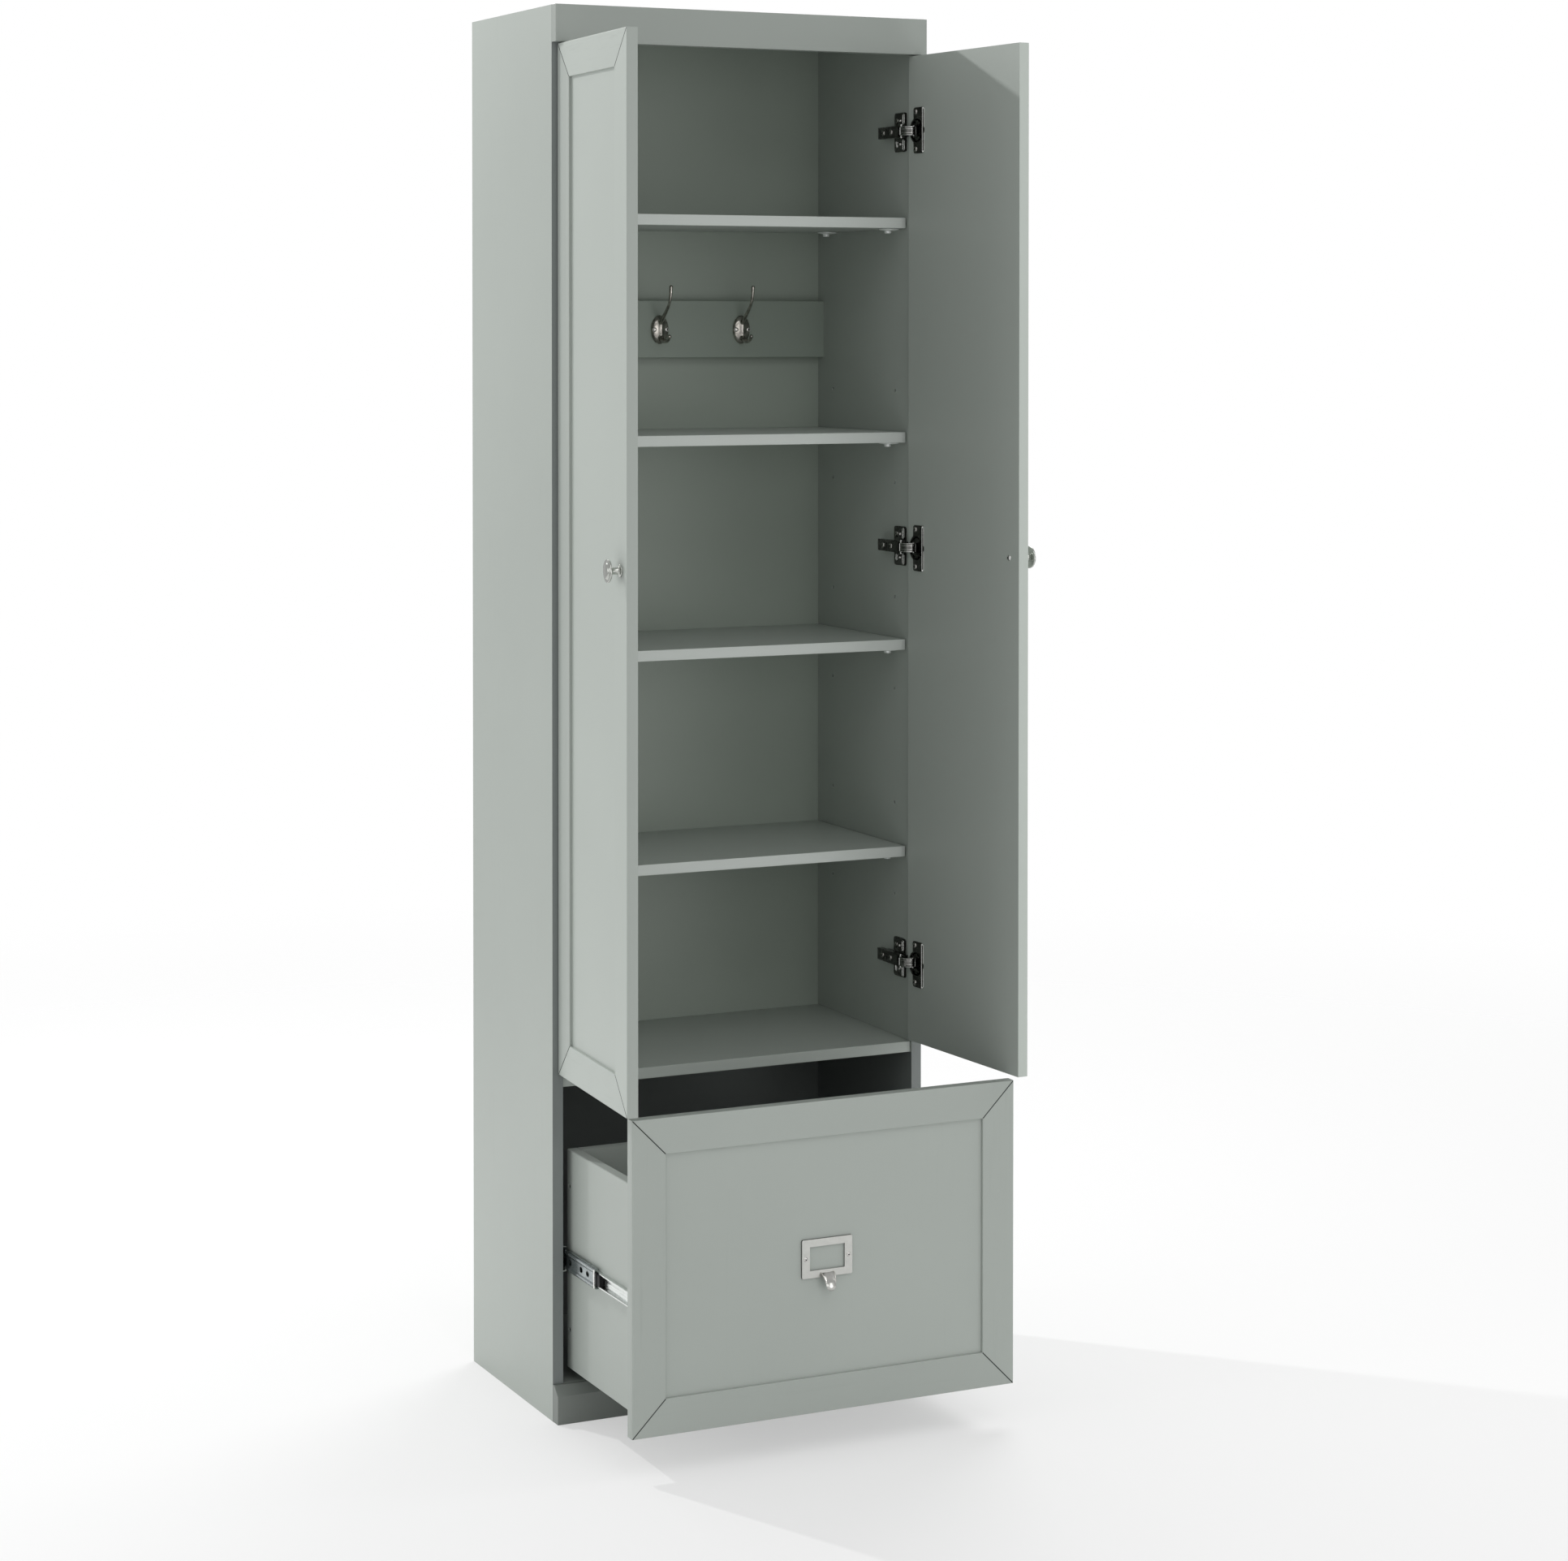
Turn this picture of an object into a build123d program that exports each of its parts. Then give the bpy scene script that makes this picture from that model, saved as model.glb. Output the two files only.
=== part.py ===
"""Tall pantry cabinet with two doors over one deep drawer, in millimetres.

+X is to the viewer's right, +Y to the back and +Z up. The origin is on the floor, at the middle of
the side panels' front edges. The rest pose has both doors open and the drawer pulled out. Left-hand
pieces are built first, and the right-hand ones mirror them.
"""

import os
from math import cos, radians, sin

from build123d import *

# Carcass
width, depth, height = 560, 298, 1900
board = 15
side_face = width / 2 - board
back_board = 3
header_height = 50
base_height, base_board = 50, 18
floor_top, floor_setback = 464, 3
shelf_tops = (738, 1030, 1322, 1623.5)
shelf_setback, shelf_play = 16, 2
pin_columns = (52, 246)
pin_pitch = 65

# Doors and drawer front
frame_width, frame_board, slab_board = 47, 4, 11
front_board = frame_board + slab_board
mitre_line = 0.8
door_width, door_height, door_bottom = 277, 1380, 468
door_angle = 94
door_corner = (-257.4, -3.5)
knob_height, knob_inset = 1161, 24
front_width, front_bottom, front_top = 557, 53, 461

# Concealed hinges
hinge_heights = (578, 1161, 1744)
cup_radius, cup_depth, cup_centre = 17.5, 11, 22.4
arm_pin = (-250, 5)
cup_pin = (9.69, 2.0)
pin_radius, running_gap = 1.5, 0.05
link_bow, link_width, link_half_height = 5.5, 4, 6.4
plate_back = 33
arm_rear = 73
arm_screw_places = (34.5, 58)

# Drawer box and slides
drawer_out = 248
box_bottom, box_top, box_length = 67, 362, 265
slide_gap = 12.7
box_face = side_face - slide_gap
slide_height, slide_start, slide_length = 215, 10, 250

# Hook rail
rail_board, rail_bottom, rail_top = 18, 1425.5, 1508
hook_height, hook_pitch = 1466, 130

# Working planes. Each has the height, +Z, as its local y.
side_plane = Plane(origin=(-side_face, 0, 0), x_dir=(0, 1, 0), z_dir=(1, 0, 0))
turn = radians(door_angle)
door_along = (cos(turn), -sin(turn), 0)
door_out = (-sin(turn), -cos(turn), 0)
door_plane = Plane(origin=(*door_corner, 0), x_dir=door_along, z_dir=door_out)
front_plane = Plane(origin=(0, -drawer_out - 1.5, 0), x_dir=(1, 0, 0), z_dir=(0, -1, 0))
rail_face = depth - back_board - rail_board
rail_plane = Plane(origin=(0, rail_face, 0), x_dir=(1, 0, 0), z_dir=(0, -1, 0))

os.makedirs("parts", exist_ok=True)


def keep(piece, name):
    """Labels a finished piece and writes it."""
    piece.part.label = name
    export_step(piece.part, f"parts/{name}.step")


def keep_pair(piece, name):
    """Writes a left-hand piece and its mirror image as two nodes."""
    keep(piece, f"{name}_left")
    with BuildPart() as twin:
        mirror(piece.part, about=Plane.YZ)
    keep(twin, f"{name}_right")


def keep_both(piece, name):
    """Writes left-hand solids and their mirror images as one node."""
    with BuildPart() as pair:
        add(piece.part)
        mirror(about=Plane.YZ)
    keep(pair, name)


def slab_between(low, high):
    """A plain board between two corners."""
    with BuildPart() as plank:
        with BuildSketch(Plane.XY.offset(low[2])):
            with Locations(((low[0] + high[0]) / 2, (low[1] + high[1]) / 2)):
                Rectangle(high[0] - low[0], high[1] - low[1])
        extrude(amount=high[2] - low[2])
    return plank


def screws(plane, spots, head, rise, shank, reach):
    """Pan-head screws with a cross recess, their heads standing on a plane."""
    with BuildPart() as group:
        with BuildSketch(plane):
            with Locations(*spots):
                Circle(head)
        extrude(amount=rise)
        chamfer(group.faces().sort_by(lambda f: f.center().dot(plane.z_dir)).group_by(
            lambda f: round(f.center().dot(plane.z_dir), 3))[-1].edges(), rise * 0.3)
        with BuildSketch(plane):
            with Locations(*spots):
                Circle(shank)
        extrude(amount=-reach)
        with BuildSketch(plane.offset(rise)):
            with Locations(*spots):
                Rectangle(head * 1.1, head * 0.24)
                Rectangle(head * 0.24, head * 1.1)
        extrude(amount=-rise * 0.6, mode=Mode.SUBTRACT)
    return group


# ---- Carcass boards ----

pin_spots = [(column, top - board / 2 + step) for column in pin_columns
             for top in shelf_tops[:3] for step in (-pin_pitch, 0, pin_pitch)]
pin_spots += [(column, shelf_tops[3] - board / 2) for column in pin_columns]
wing_spots = [(plate_back, h + z) for h in hinge_heights for z in (-16, 16)]
slide_screw_spots = [(slide_start + y, slide_height) for y in (27, 219)]

with BuildPart() as side_panel:
    with BuildSketch(Plane.XY):
        with Locations((-side_face - board / 2, depth / 2)):
            Rectangle(board, depth)
        with Locations((-side_face - 3, depth - back_board / 2)):
            Rectangle(6, back_board, mode=Mode.SUBTRACT)
    extrude(amount=height)
    with BuildSketch(side_plane):
        with Locations(*pin_spots):
            Circle(2.5)
    extrude(amount=-9, mode=Mode.SUBTRACT)
    with BuildSketch(side_plane):
        with Locations(*wing_spots, *slide_screw_spots):
            Circle(2)
    extrude(amount=-11, mode=Mode.SUBTRACT)
keep_pair(side_panel, "side_panel")

back_face = depth - back_board
keep(slab_between((-side_face, 0, height - board), (side_face, back_face, height)), "top_panel")
keep(slab_between((-side_face, floor_setback, floor_top - board), (side_face, back_face, floor_top)),
     "cupboard_floor")
keep(slab_between((-side_face, 0, base_height - board), (side_face, back_face, base_height)), "bottom_panel")

with BuildPart() as header:
    with BuildSketch(Plane.XY.offset(height - header_height)):
        with Locations((0, -board / 2)):
            Rectangle(width, board)
    extrude(amount=header_height)
    chamfer(header.edges().filter_by(Axis.Z).group_by(Axis.Y)[0], 0.6)
    chamfer(header.edges().filter_by(Axis.X).group_by(Axis.Y)[0], 0.6)
keep(header, "header_board")

with BuildPart() as base:
    with BuildSketch(Plane.YZ.offset(-width / 2)):
        Polygon((0, 0), (-base_board, 0), (-base_board, base_height - 12), (-5, base_height), (0, base_height),
                align=None)
    extrude(amount=width)
keep(base, "base_board")

rebate = side_face + 5.7
seam = floor_top - board / 2
for name, low, high in (("drawer_bay_back", 35, seam - 0.3), ("cupboard_back", seam + 0.3, height)):
    keep(slab_between((-rebate, back_face, low), (rebate, depth, high)), name)

# ---- Shelves and their angle supports ----

shelf_half = side_face - shelf_play
for number, top in enumerate(shelf_tops, 1):
    with BuildPart() as shelf:
        with BuildSketch(Plane.XY.offset(top - board)):
            with Locations((0, (shelf_setback + back_face - 1) / 2)):
                Rectangle(2 * shelf_half, back_face - 1 - shelf_setback)
        extrude(amount=board)
        chamfer(shelf.edges().filter_by(Axis.X).group_by(Axis.Y)[0], 0.5)
    keep(shelf, f"shelf_{number}")

with BuildPart() as support:
    # An angle with its peg level with the shelf's edge, a pad under the shelf and the pad's screw.
    with BuildSketch(Plane.XZ.offset(-7)):
        with Locations((-side_face, -board - 1.5)):
            Rectangle(1.5, 14.5, align=Align.MIN)
            Rectangle(20, 1.5, align=Align.MIN)
    extrude(amount=14)
    with BuildSketch(side_plane):
        with Locations((0, -board / 2)):
            Circle(2.45)
    extrude(amount=-8)
    with BuildSketch(Plane.XY.offset(-board - 1.5)):
        with Locations((-side_face + 11, 0)):
            Circle(4)
    extrude(amount=-2.4)
    chamfer(support.faces().sort_by(Axis.Z)[0].edges(), 0.7)

with BuildPart() as supports:
    with Locations(*[(0, column, top) for column in pin_columns for top in shelf_tops]):
        add(support.part)
    mirror(about=Plane.YZ)
keep(supports, "shelf_supports")

# ---- Hook rail ----

hook_columns = (-hook_pitch, 0, hook_pitch)
hook_screw_spots = [(x + dx, hook_height) for x in hook_columns for dx in (-10, 10)]

with BuildPart() as rail:
    with BuildSketch(rail_plane.offset(-rail_board)):
        with Locations((0, (rail_bottom + rail_top) / 2)):
            Rectangle(2 * side_face, rail_top - rail_bottom)
    extrude(amount=rail_board)
    chamfer(rail.edges().filter_by(Axis.X).group_by(Axis.Y)[0], 0.6)
    with BuildSketch(rail_plane):
        with Locations(*hook_screw_spots):
            Circle(1.8)
    extrude(amount=-12, mode=Mode.SUBTRACT)
keep(rail, "hook_rail")


def prong(points, radii):
    """A round prong along a curve in the middle plane, whose radius changes from root to tip."""
    with BuildPart() as swept:
        with BuildLine(Plane.YZ) as route:
            Spline(*points)
        for place, radius in zip((0, 0.5, 1), radii):
            with BuildSketch(Plane(origin=route.line @ place, z_dir=route.line % place)):
                Circle(radius)
        sweep(path=route.line, multisection=True)
    return swept.part


with BuildPart() as hook:
    # The oval back plate is domed, the long prong rises forward and the short one ends in a ball.
    for rise, half_width, half_height in ((0, 14, 21), (1.6, 13.6, 20.6), (5.5, 8, 14)):
        with BuildSketch(rail_plane.offset(rise)):
            with Locations((0, hook_height)):
                Ellipse(half_width, half_height)
    loft()
    add(prong([(rail_face - y, hook_height + z) for y, z in ((3, 8), (16, 22), (31, 42), (38, 61))],
              (4.6, 2.9, 2.3)))
    add(prong([(rail_face - y, hook_height + z) for y, z in ((3, -10), (17, -17), (31, -16), (35, -10))],
              (4.2, 3, 2.2)))
    with Locations((0, rail_face - 38, hook_height + 61)):
        Sphere(3.1)
    with Locations((0, rail_face - 35, hook_height - 10)):
        Sphere(3.2)
    with BuildSketch(rail_plane.offset(8)):
        with Locations((-10, hook_height), (10, hook_height)):
            Circle(3.4)
    extrude(amount=-4.4, mode=Mode.SUBTRACT)
    with BuildSketch(rail_plane.offset(4)):
        with Locations((-10, hook_height), (10, hook_height)):
            Circle(1.8)
    extrude(amount=-4, mode=Mode.SUBTRACT)
    split(bisect_by=rail_plane, keep=Keep.TOP)

with BuildPart() as hooks:
    with Locations(*[(x, 0, 0) for x in hook_columns]):
        add(hook.part)
keep(hooks, "coat_hooks")
keep(screws(rail_plane.offset(3.6), hook_screw_spots, 3.1, 1.6, 1.75, 15), "hook_screws")

# ---- Concealed hinges, carcass side ----

with BuildPart() as plates:
    # Each cross-shaped plate has two wings screwed to the side and a saddle that carries the arm.
    for h in hinge_heights:
        with BuildSketch(side_plane):
            with Locations((plate_back, h)):
                Rectangle(34, 55)
        extrude(amount=2)
    fillet(plates.edges().filter_by(Axis.X), 4)
    for h in hinge_heights:
        with BuildSketch(side_plane):
            with Locations((plate_back + 5, h)):
                Rectangle(56, 13)
        extrude(amount=8.5)
        with BuildSketch(side_plane.offset(2)):
            with Locations((plate_back - 14, h - 18), (plate_back - 14, h + 18)):
                SlotOverall(16, 4, rotation=90)
        extrude(amount=1.6)
    with BuildSketch(side_plane.offset(2)):
        with Locations(*wing_spots):
            Circle(2)
        with Locations(*[(plate_back + 9, z) for _, z in wing_spots]):
            SlotOverall(9, 4, rotation=90)
    extrude(amount=-2, mode=Mode.SUBTRACT)
    with BuildSketch(side_plane.offset(8.5)):
        with Locations(*[(y, h) for h in hinge_heights for y in arm_screw_places]):
            Circle(2)
    extrude(amount=-7, mode=Mode.SUBTRACT)
keep_both(plates, "hinge_plates")
keep_both(screws(side_plane.offset(2), wing_spots, 3.8, 2.2, 1.95, 12), "plate_screws")

arm_low, arm_high = 8.8, 16
arm_half = 8.2
pin_x = arm_pin[0] + side_face


def arm_outline(front, rear):
    """The arm's cheek seen from above: a bar that ends round the link's pin."""
    with BuildSketch() as cheek:
        with BuildLine():
            Polyline((pin_x, front - 4), (arm_high, front), (arm_high, rear), (arm_low, rear), (arm_low, front + 6),
                     (pin_x - 4, front))
            ThreePointArc((pin_x - 4, front), (pin_x - 2.83, front - 2.83), (pin_x, front - 4))
        make_face()
    return cheek.sketch


with BuildPart() as arms:
    for h in hinge_heights:
        with BuildSketch(Plane(origin=(-side_face, 0, h - arm_half))):
            add(arm_outline(arm_pin[1], arm_rear))
        extrude(amount=2 * arm_half)
        with BuildSketch(Plane(origin=(-side_face, 0, h - arm_half + 1.4))):
            with Locations(((arm_low + arm_high - 1.5) / 2, arm_rear - 29)):
                Rectangle(arm_high - 1.5 - arm_low, 70)
            with Locations(((pin_x + 0.5), 4)):
                Rectangle(18, 18)
        extrude(amount=2 * (arm_half - 1.4), mode=Mode.SUBTRACT)
        with Locations((-side_face + pin_x, arm_pin[1], h)):
            Cylinder(pin_radius + 0.01, 20, mode=Mode.SUBTRACT)
    with BuildSketch(side_plane.offset(arm_high)):
        with Locations(*[(arm_screw_places[0], h) for h in hinge_heights]):
            Circle(2.1)
        with Locations(*[(arm_screw_places[1], h) for h in hinge_heights]):
            SlotOverall(8, 4.2)
        with Locations(*[(sum(arm_screw_places) / 2, h) for h in hinge_heights]):
            Rectangle(2.2, 10)
    extrude(amount=-3, mode=Mode.SUBTRACT)
keep_both(arms, "hinge_arms")
arm_screw_spots = [(y, h) for h in hinge_heights for y in arm_screw_places]
keep_both(screws(side_plane.offset(arm_high), arm_screw_spots, 3.6, 1.8, 1.9, 13.5), "arm_screws")

with BuildPart() as arm_pins:
    with Locations(*[(*arm_pin, h) for h in hinge_heights]):
        Cylinder(pin_radius, 2 * arm_half)
keep_both(arm_pins, "arm_pins")

# ---- Hinge links, which turn on the arm's pin and carry the cup's pin ----

cup_pin_at = door_plane.from_local_coords(Vector(cup_pin[0], 0, cup_pin[1]))
link_start, link_end = Vector(*arm_pin, 0), Vector(cup_pin_at.X, cup_pin_at.Y, 0)
link_run = (link_end - link_start).normalized()
link_side = Vector(-link_run.Y, link_run.X, 0)
link_middle = (link_start + link_end) * 0.5 + link_side * link_bow


def link_outline(grow):
    """A bowed bar between the two pins, its ends rounded about them."""
    with BuildLine() as spine:
        ThreePointArc(link_start, link_middle, link_end)
    with BuildSketch() as bar:
        with BuildLine():
            offset(spine.line, amount=link_width / 2 + grow, kind=Kind.ARC)
        make_face()
    return bar.sketch


with BuildPart() as links:
    for h in hinge_heights:
        with BuildSketch(Plane.XY.offset(h - link_half_height)):
            add(link_outline(0))
            with Locations(link_start):
                Circle(2.9)
            with Locations(link_end):
                Circle(2.5)
        extrude(amount=2 * link_half_height)
        with BuildSketch(Plane.XY.offset(h - link_half_height + 1.3)):
            with Locations(-link_side * 1.3):
                add(link_outline(0))
            with Locations(link_start - link_side * 0.4, link_end - link_side * 0.4):
                Circle(3.4)
        extrude(amount=2 * (link_half_height - 1.3), mode=Mode.SUBTRACT)
        with Locations((arm_pin[0], arm_pin[1], h), (link_end.X, link_end.Y, h)):
            Cylinder(pin_radius + running_gap, 20, mode=Mode.SUBTRACT)
keep_pair(links, "hinge_links")

# ---- Doors ----

door_top = door_bottom + door_height
door_middle = (door_bottom + door_top) / 2
cup_spots = [(cup_centre, h) for h in hinge_heights]
cup_screw_spots = [(19, h + z) for h in hinge_heights for z in (-26, 26)]
knob_spot = (door_width - knob_inset, knob_height)

with BuildPart() as door_slab:
    with BuildSketch(door_plane):
        with Locations((door_width / 2, door_middle)):
            Rectangle(door_width, door_height)
    extrude(amount=slab_board)
    with BuildSketch(door_plane):
        with Locations(*cup_spots):
            Circle(cup_radius)
        with Locations(knob_spot):
            Circle(2.2)
        with Locations(*cup_screw_spots):
            Circle(1.8)
    extrude(amount=slab_board, mode=Mode.SUBTRACT)
keep_pair(door_slab, "door_slab")


def mitred(plane, low, high, upright):
    """Two stiles or two rails of a mitred frame, with a fine chamfer along the mitres."""
    (x0, z0), (x1, z1) = low, high
    w = frame_width
    if upright:
        ends = [[(x0, z0), (x0 + w, z0 + w), (x0 + w, z1 - w), (x0, z1)],
                [(x1, z0), (x1, z1), (x1 - w, z1 - w), (x1 - w, z0 + w)]]
    else:
        ends = [[(x0, z0), (x1, z0), (x1 - w, z0 + w), (x0 + w, z0 + w)],
                [(x0, z1), (x0 + w, z1 - w), (x1 - w, z1 - w), (x1, z1)]]
    with BuildPart() as frame:
        for outline in ends:
            with BuildSketch(plane.offset(slab_board)):
                Polygon(*outline, align=None)
            extrude(amount=frame_board)
        face_height = round((plane.origin + plane.z_dir * front_board).dot(plane.z_dir), 3)
        outer = [f for f in frame.faces() if round(f.center().dot(plane.z_dir), 3) == face_height]
        slanted = [e for f in outer for e in f.edges() if 1 < abs(e.tangent_at(0.5).Z) * 2 < 1.9]
        chamfer(slanted, mitre_line)
        straight = [e for f in frame.faces() if round(f.center().dot(plane.z_dir), 3) == face_height
                    for e in f.edges() if not 1 < abs(e.tangent_at(0.5).Z) * 2 < 1.9 and e.length > 20]
        chamfer(straight, 0.5)
    return frame


for name, upright in (("stiles", True), ("rails", False)):
    pieces = mitred(door_plane, (0, door_bottom), (door_width, door_top), upright)
    if upright:
        with BuildPart() as bored:
            add(pieces.part)
            with BuildSketch(door_plane.offset(slab_board)):
                with Locations(*cup_spots):
                    Circle(cup_radius)
            extrude(amount=cup_depth + 0.4 - slab_board, mode=Mode.SUBTRACT)
            with BuildSketch(door_plane.offset(slab_board)):
                with Locations(knob_spot):
                    Circle(2.2)
            extrude(amount=frame_board, mode=Mode.SUBTRACT)
            with BuildSketch(door_plane.offset(slab_board)):
                with Locations(*cup_screw_spots):
                    Circle(1.8)
            extrude(amount=3, mode=Mode.SUBTRACT)
        pieces = bored
    keep_pair(pieces, f"door_{name}")

cup_height = 64
with BuildPart() as cups:
    # A drawn cup with a D-shaped flange, whose straight edge is turned up and whose rim is notched.
    for h in hinge_heights:
        with BuildSketch(door_plane):
            with Locations((cup_centre, h)):
                Circle(cup_radius + 0.9)
            with Locations((26.8, h)):
                RectangleRounded(26, cup_height, 4)
        extrude(amount=-1)
        with BuildSketch(door_plane.offset(-1)):
            with Locations((39.2, h)):
                Rectangle(1.2, cup_height - 9)
        extrude(amount=-1.8)
        with BuildSketch(door_plane):
            with Locations((cup_centre, h)):
                Circle(cup_radius - 0.1)
        extrude(amount=cup_depth)
        with BuildSketch(door_plane.offset(-1)):
            with Locations((cup_centre, h)):
                Circle(cup_radius - 1.2)
        extrude(amount=cup_depth, mode=Mode.SUBTRACT)
        with BuildSketch(door_plane.offset(-1)):
            with Locations((5, h)):
                Rectangle(8, 14)
        extrude(amount=7, mode=Mode.SUBTRACT)
        for side in (-1, 1):
            with BuildSketch(door_plane.offset(0.2)):
                with Locations((14.7, h + side * 8.3)):
                    Rectangle(13.6, 2.4)
            extrude(amount=cup_depth - 1)
        with BuildSketch(Plane(origin=(link_end.X, link_end.Y, h - 10))):
            Circle(pin_radius + 0.01)
        extrude(amount=20, mode=Mode.SUBTRACT)
    with BuildSketch(door_plane.offset(-1)):
        with Locations(*cup_screw_spots):
            Circle(1.8)
    extrude(amount=1, mode=Mode.SUBTRACT)
keep_pair(cups, "hinge_cups")
keep_pair(screws(Plane(door_plane.offset(-1).origin, x_dir=door_along, z_dir=Vector(*door_out) * -1),
                 [(u, -z) for u, z in cup_screw_spots], 3.6, 1.8, 1.75, 11.5), "cup_screws")

with BuildPart() as cup_pins:
    with Locations(*[(link_end.X, link_end.Y, h) for h in hinge_heights]):
        Cylinder(pin_radius, 18)
keep_pair(cup_pins, "cup_pins")

with BuildPart() as knob:
    # Turned about the axis that stands on the door's face: rosette, waisted stem and stepped disc.
    knob_origin = door_plane.offset(front_board).from_local_coords(Vector(*knob_spot, 0))
    with BuildSketch(Plane(origin=knob_origin, x_dir=(0, 0, 1), z_dir=door_along)):
        with BuildLine():
            Polyline((0, 0), (8, 0), (8, 1.6), (6.6, 2.6), (5.2, 3))
            ThreePointArc((5.2, 3), (4.7, 9), (5.4, 14.8))
            Polyline((5.4, 14.8), (13.6, 15.4), (15, 16.4), (15, 18), (13.4, 18.8), (10.6, 18.8), (9.6, 20))
            ThreePointArc((9.6, 20), (5.4, 21.1), (1, 21.5))
            Polyline((1, 21.5), (0, 21.5), (0, 0))
        make_face()
    revolve(axis=Axis(knob_origin, door_out))
    with BuildSketch(door_plane.offset(front_board)):
        with Locations(knob_spot):
            Circle(2)
    extrude(amount=9, mode=Mode.SUBTRACT)
keep_pair(knob, "door_knob")
keep_pair(screws(Plane(door_plane.origin, x_dir=door_along, z_dir=Vector(*door_out) * -1),
                 [(knob_spot[0], -knob_spot[1])], 3.6, 1.8, 1.95, front_board + 8), "knob_screw")

# ---- Drawer front ----

front_middle = (front_bottom + front_top) / 2
label_height = 255
label_screw_spots = [(-31.3, label_height), (31.3, label_height)]

with BuildPart() as front_slab:
    with BuildSketch(front_plane):
        with Locations((0, front_middle)):
            Rectangle(front_width, front_top - front_bottom)
    extrude(amount=slab_board)
    with BuildSketch(front_plane):
        with Locations(*label_screw_spots):
            Circle(1.6)
    extrude(amount=slab_board, mode=Mode.SUBTRACT)
    with BuildSketch(front_plane):
        with Locations((-190, 130), (190, 130), (-190, 300), (190, 300)):
            Circle(2)
    extrude(amount=5.5, mode=Mode.SUBTRACT)
keep(front_slab, "drawer_front_slab")

for name, upright in (("stiles", True), ("rails", False)):
    keep(mitred(front_plane, (-front_width / 2, front_bottom), (front_width / 2, front_top), upright),
         f"drawer_front_{name}")

with BuildPart() as holder:
    # A flat label frame with a card slot behind it and a dished finger tab below.
    with BuildSketch(front_plane.offset(slab_board)):
        with Locations((0, label_height)):
            RectangleRounded(73, 51, 2.5)
            Rectangle(51.5, 31.5, mode=Mode.SUBTRACT)
    extrude(amount=2.4)
    chamfer(holder.faces().sort_by(Axis.Y)[0].edges(), 0.5)
    with BuildSketch(front_plane.offset(slab_board)):
        with Locations((0, label_height + 2)):
            Rectangle(57, 38)
    extrude(amount=0.9, mode=Mode.SUBTRACT)
    with BuildSketch(front_plane.offset(slab_board + 2.4)):
        with Locations(*label_screw_spots):
            Circle(1.7)
    extrude(amount=-3, mode=Mode.SUBTRACT)
    tab_y = front_plane.origin.Y - slab_board
    with BuildSketch(Plane.YZ.offset(-9)):
        with BuildLine():
            Polyline((tab_y - 2.4, 236.6), (tab_y - 5, 236.2), (tab_y - 15.2, 222))
            Spline((tab_y - 15.2, 222), (tab_y - 17, 217), (tab_y - 17.4, 211.4))
            Polyline((tab_y - 17.4, 211.4), (tab_y - 15.8, 211.2), (tab_y - 15.2, 216.4), (tab_y - 13.4, 220.6),
                     (tab_y - 4.4, 232), (tab_y - 2.4, 232), (tab_y - 2.4, 236.6))
        make_face()
    extrude(amount=18)
    with BuildSketch(Plane.XZ.offset(-tab_y + 1)):
        with BuildLine():
            Polyline((-12, 231), (-9, 231), (-9, 222))
            ThreePointArc((-9, 222), (0, 211), (9, 222))
            Polyline((9, 222), (9, 231), (12, 231), (12, 206), (-12, 206), (-12, 231))
        make_face()
    extrude(amount=20, mode=Mode.SUBTRACT)
keep(holder, "label_pull")
keep(screws(front_plane.offset(slab_board + 2.4), label_screw_spots, 2.9, 1, 1.5, 9), "label_screws")

# ---- Drawer box ----

box_front = -drawer_out - 1.5
box_rear = box_front + box_length
corner_spots = [(box_rear - board / 2, z) for z in (119, 313)]
box_plane = Plane(origin=(-box_face, 0, 0), x_dir=(0, 1, 0), z_dir=(1, 0, 0))
member_screw_spots = [(box_front + 12 + y, slide_height) for y in (20, 200)]

with BuildPart() as box_side:
    with BuildSketch(Plane.XY.offset(box_bottom)):
        with Locations((-box_face + board / 2, (box_front + box_rear) / 2)):
            Rectangle(board, box_length)
    extrude(amount=box_top - box_bottom)
    chamfer(box_side.faces().sort_by(Axis.Z)[-1].edges().filter_by(Axis.Y), 1)
    with BuildSketch(box_plane):
        with Locations(*corner_spots):
            Circle(3.6)
    extrude(amount=2.5, mode=Mode.SUBTRACT)
    with BuildSketch(box_plane):
        with Locations(*corner_spots):
            Circle(2)
    extrude(amount=board, mode=Mode.SUBTRACT)
    with BuildSketch(box_plane):
        with Locations(*member_screw_spots):
            Circle(1.6)
    extrude(amount=11, mode=Mode.SUBTRACT)
keep_pair(box_side, "drawer_side")

box_inside = box_face - board
for name, y in (("drawer_box_front", box_front), ("drawer_box_back", box_rear - board)):
    with BuildPart() as end:
        with BuildSketch(Plane.XY.offset(box_bottom)):
            with Locations((0, y + board / 2)):
                Rectangle(2 * box_inside, board)
        extrude(amount=box_top - box_bottom)
        if name == "drawer_box_front":
            with BuildSketch(front_plane):
                with Locations((-190, 130), (190, 130), (-190, 300), (190, 300)):
                    Circle(2)
            extrude(amount=-board, mode=Mode.SUBTRACT)
        else:
            for side in (-1, 1):
                with BuildSketch(Plane.YZ.offset(side * box_inside)):
                    with Locations(*corner_spots):
                        Circle(2)
                extrude(amount=-side * 26, mode=Mode.SUBTRACT)
    keep(end, name)

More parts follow.
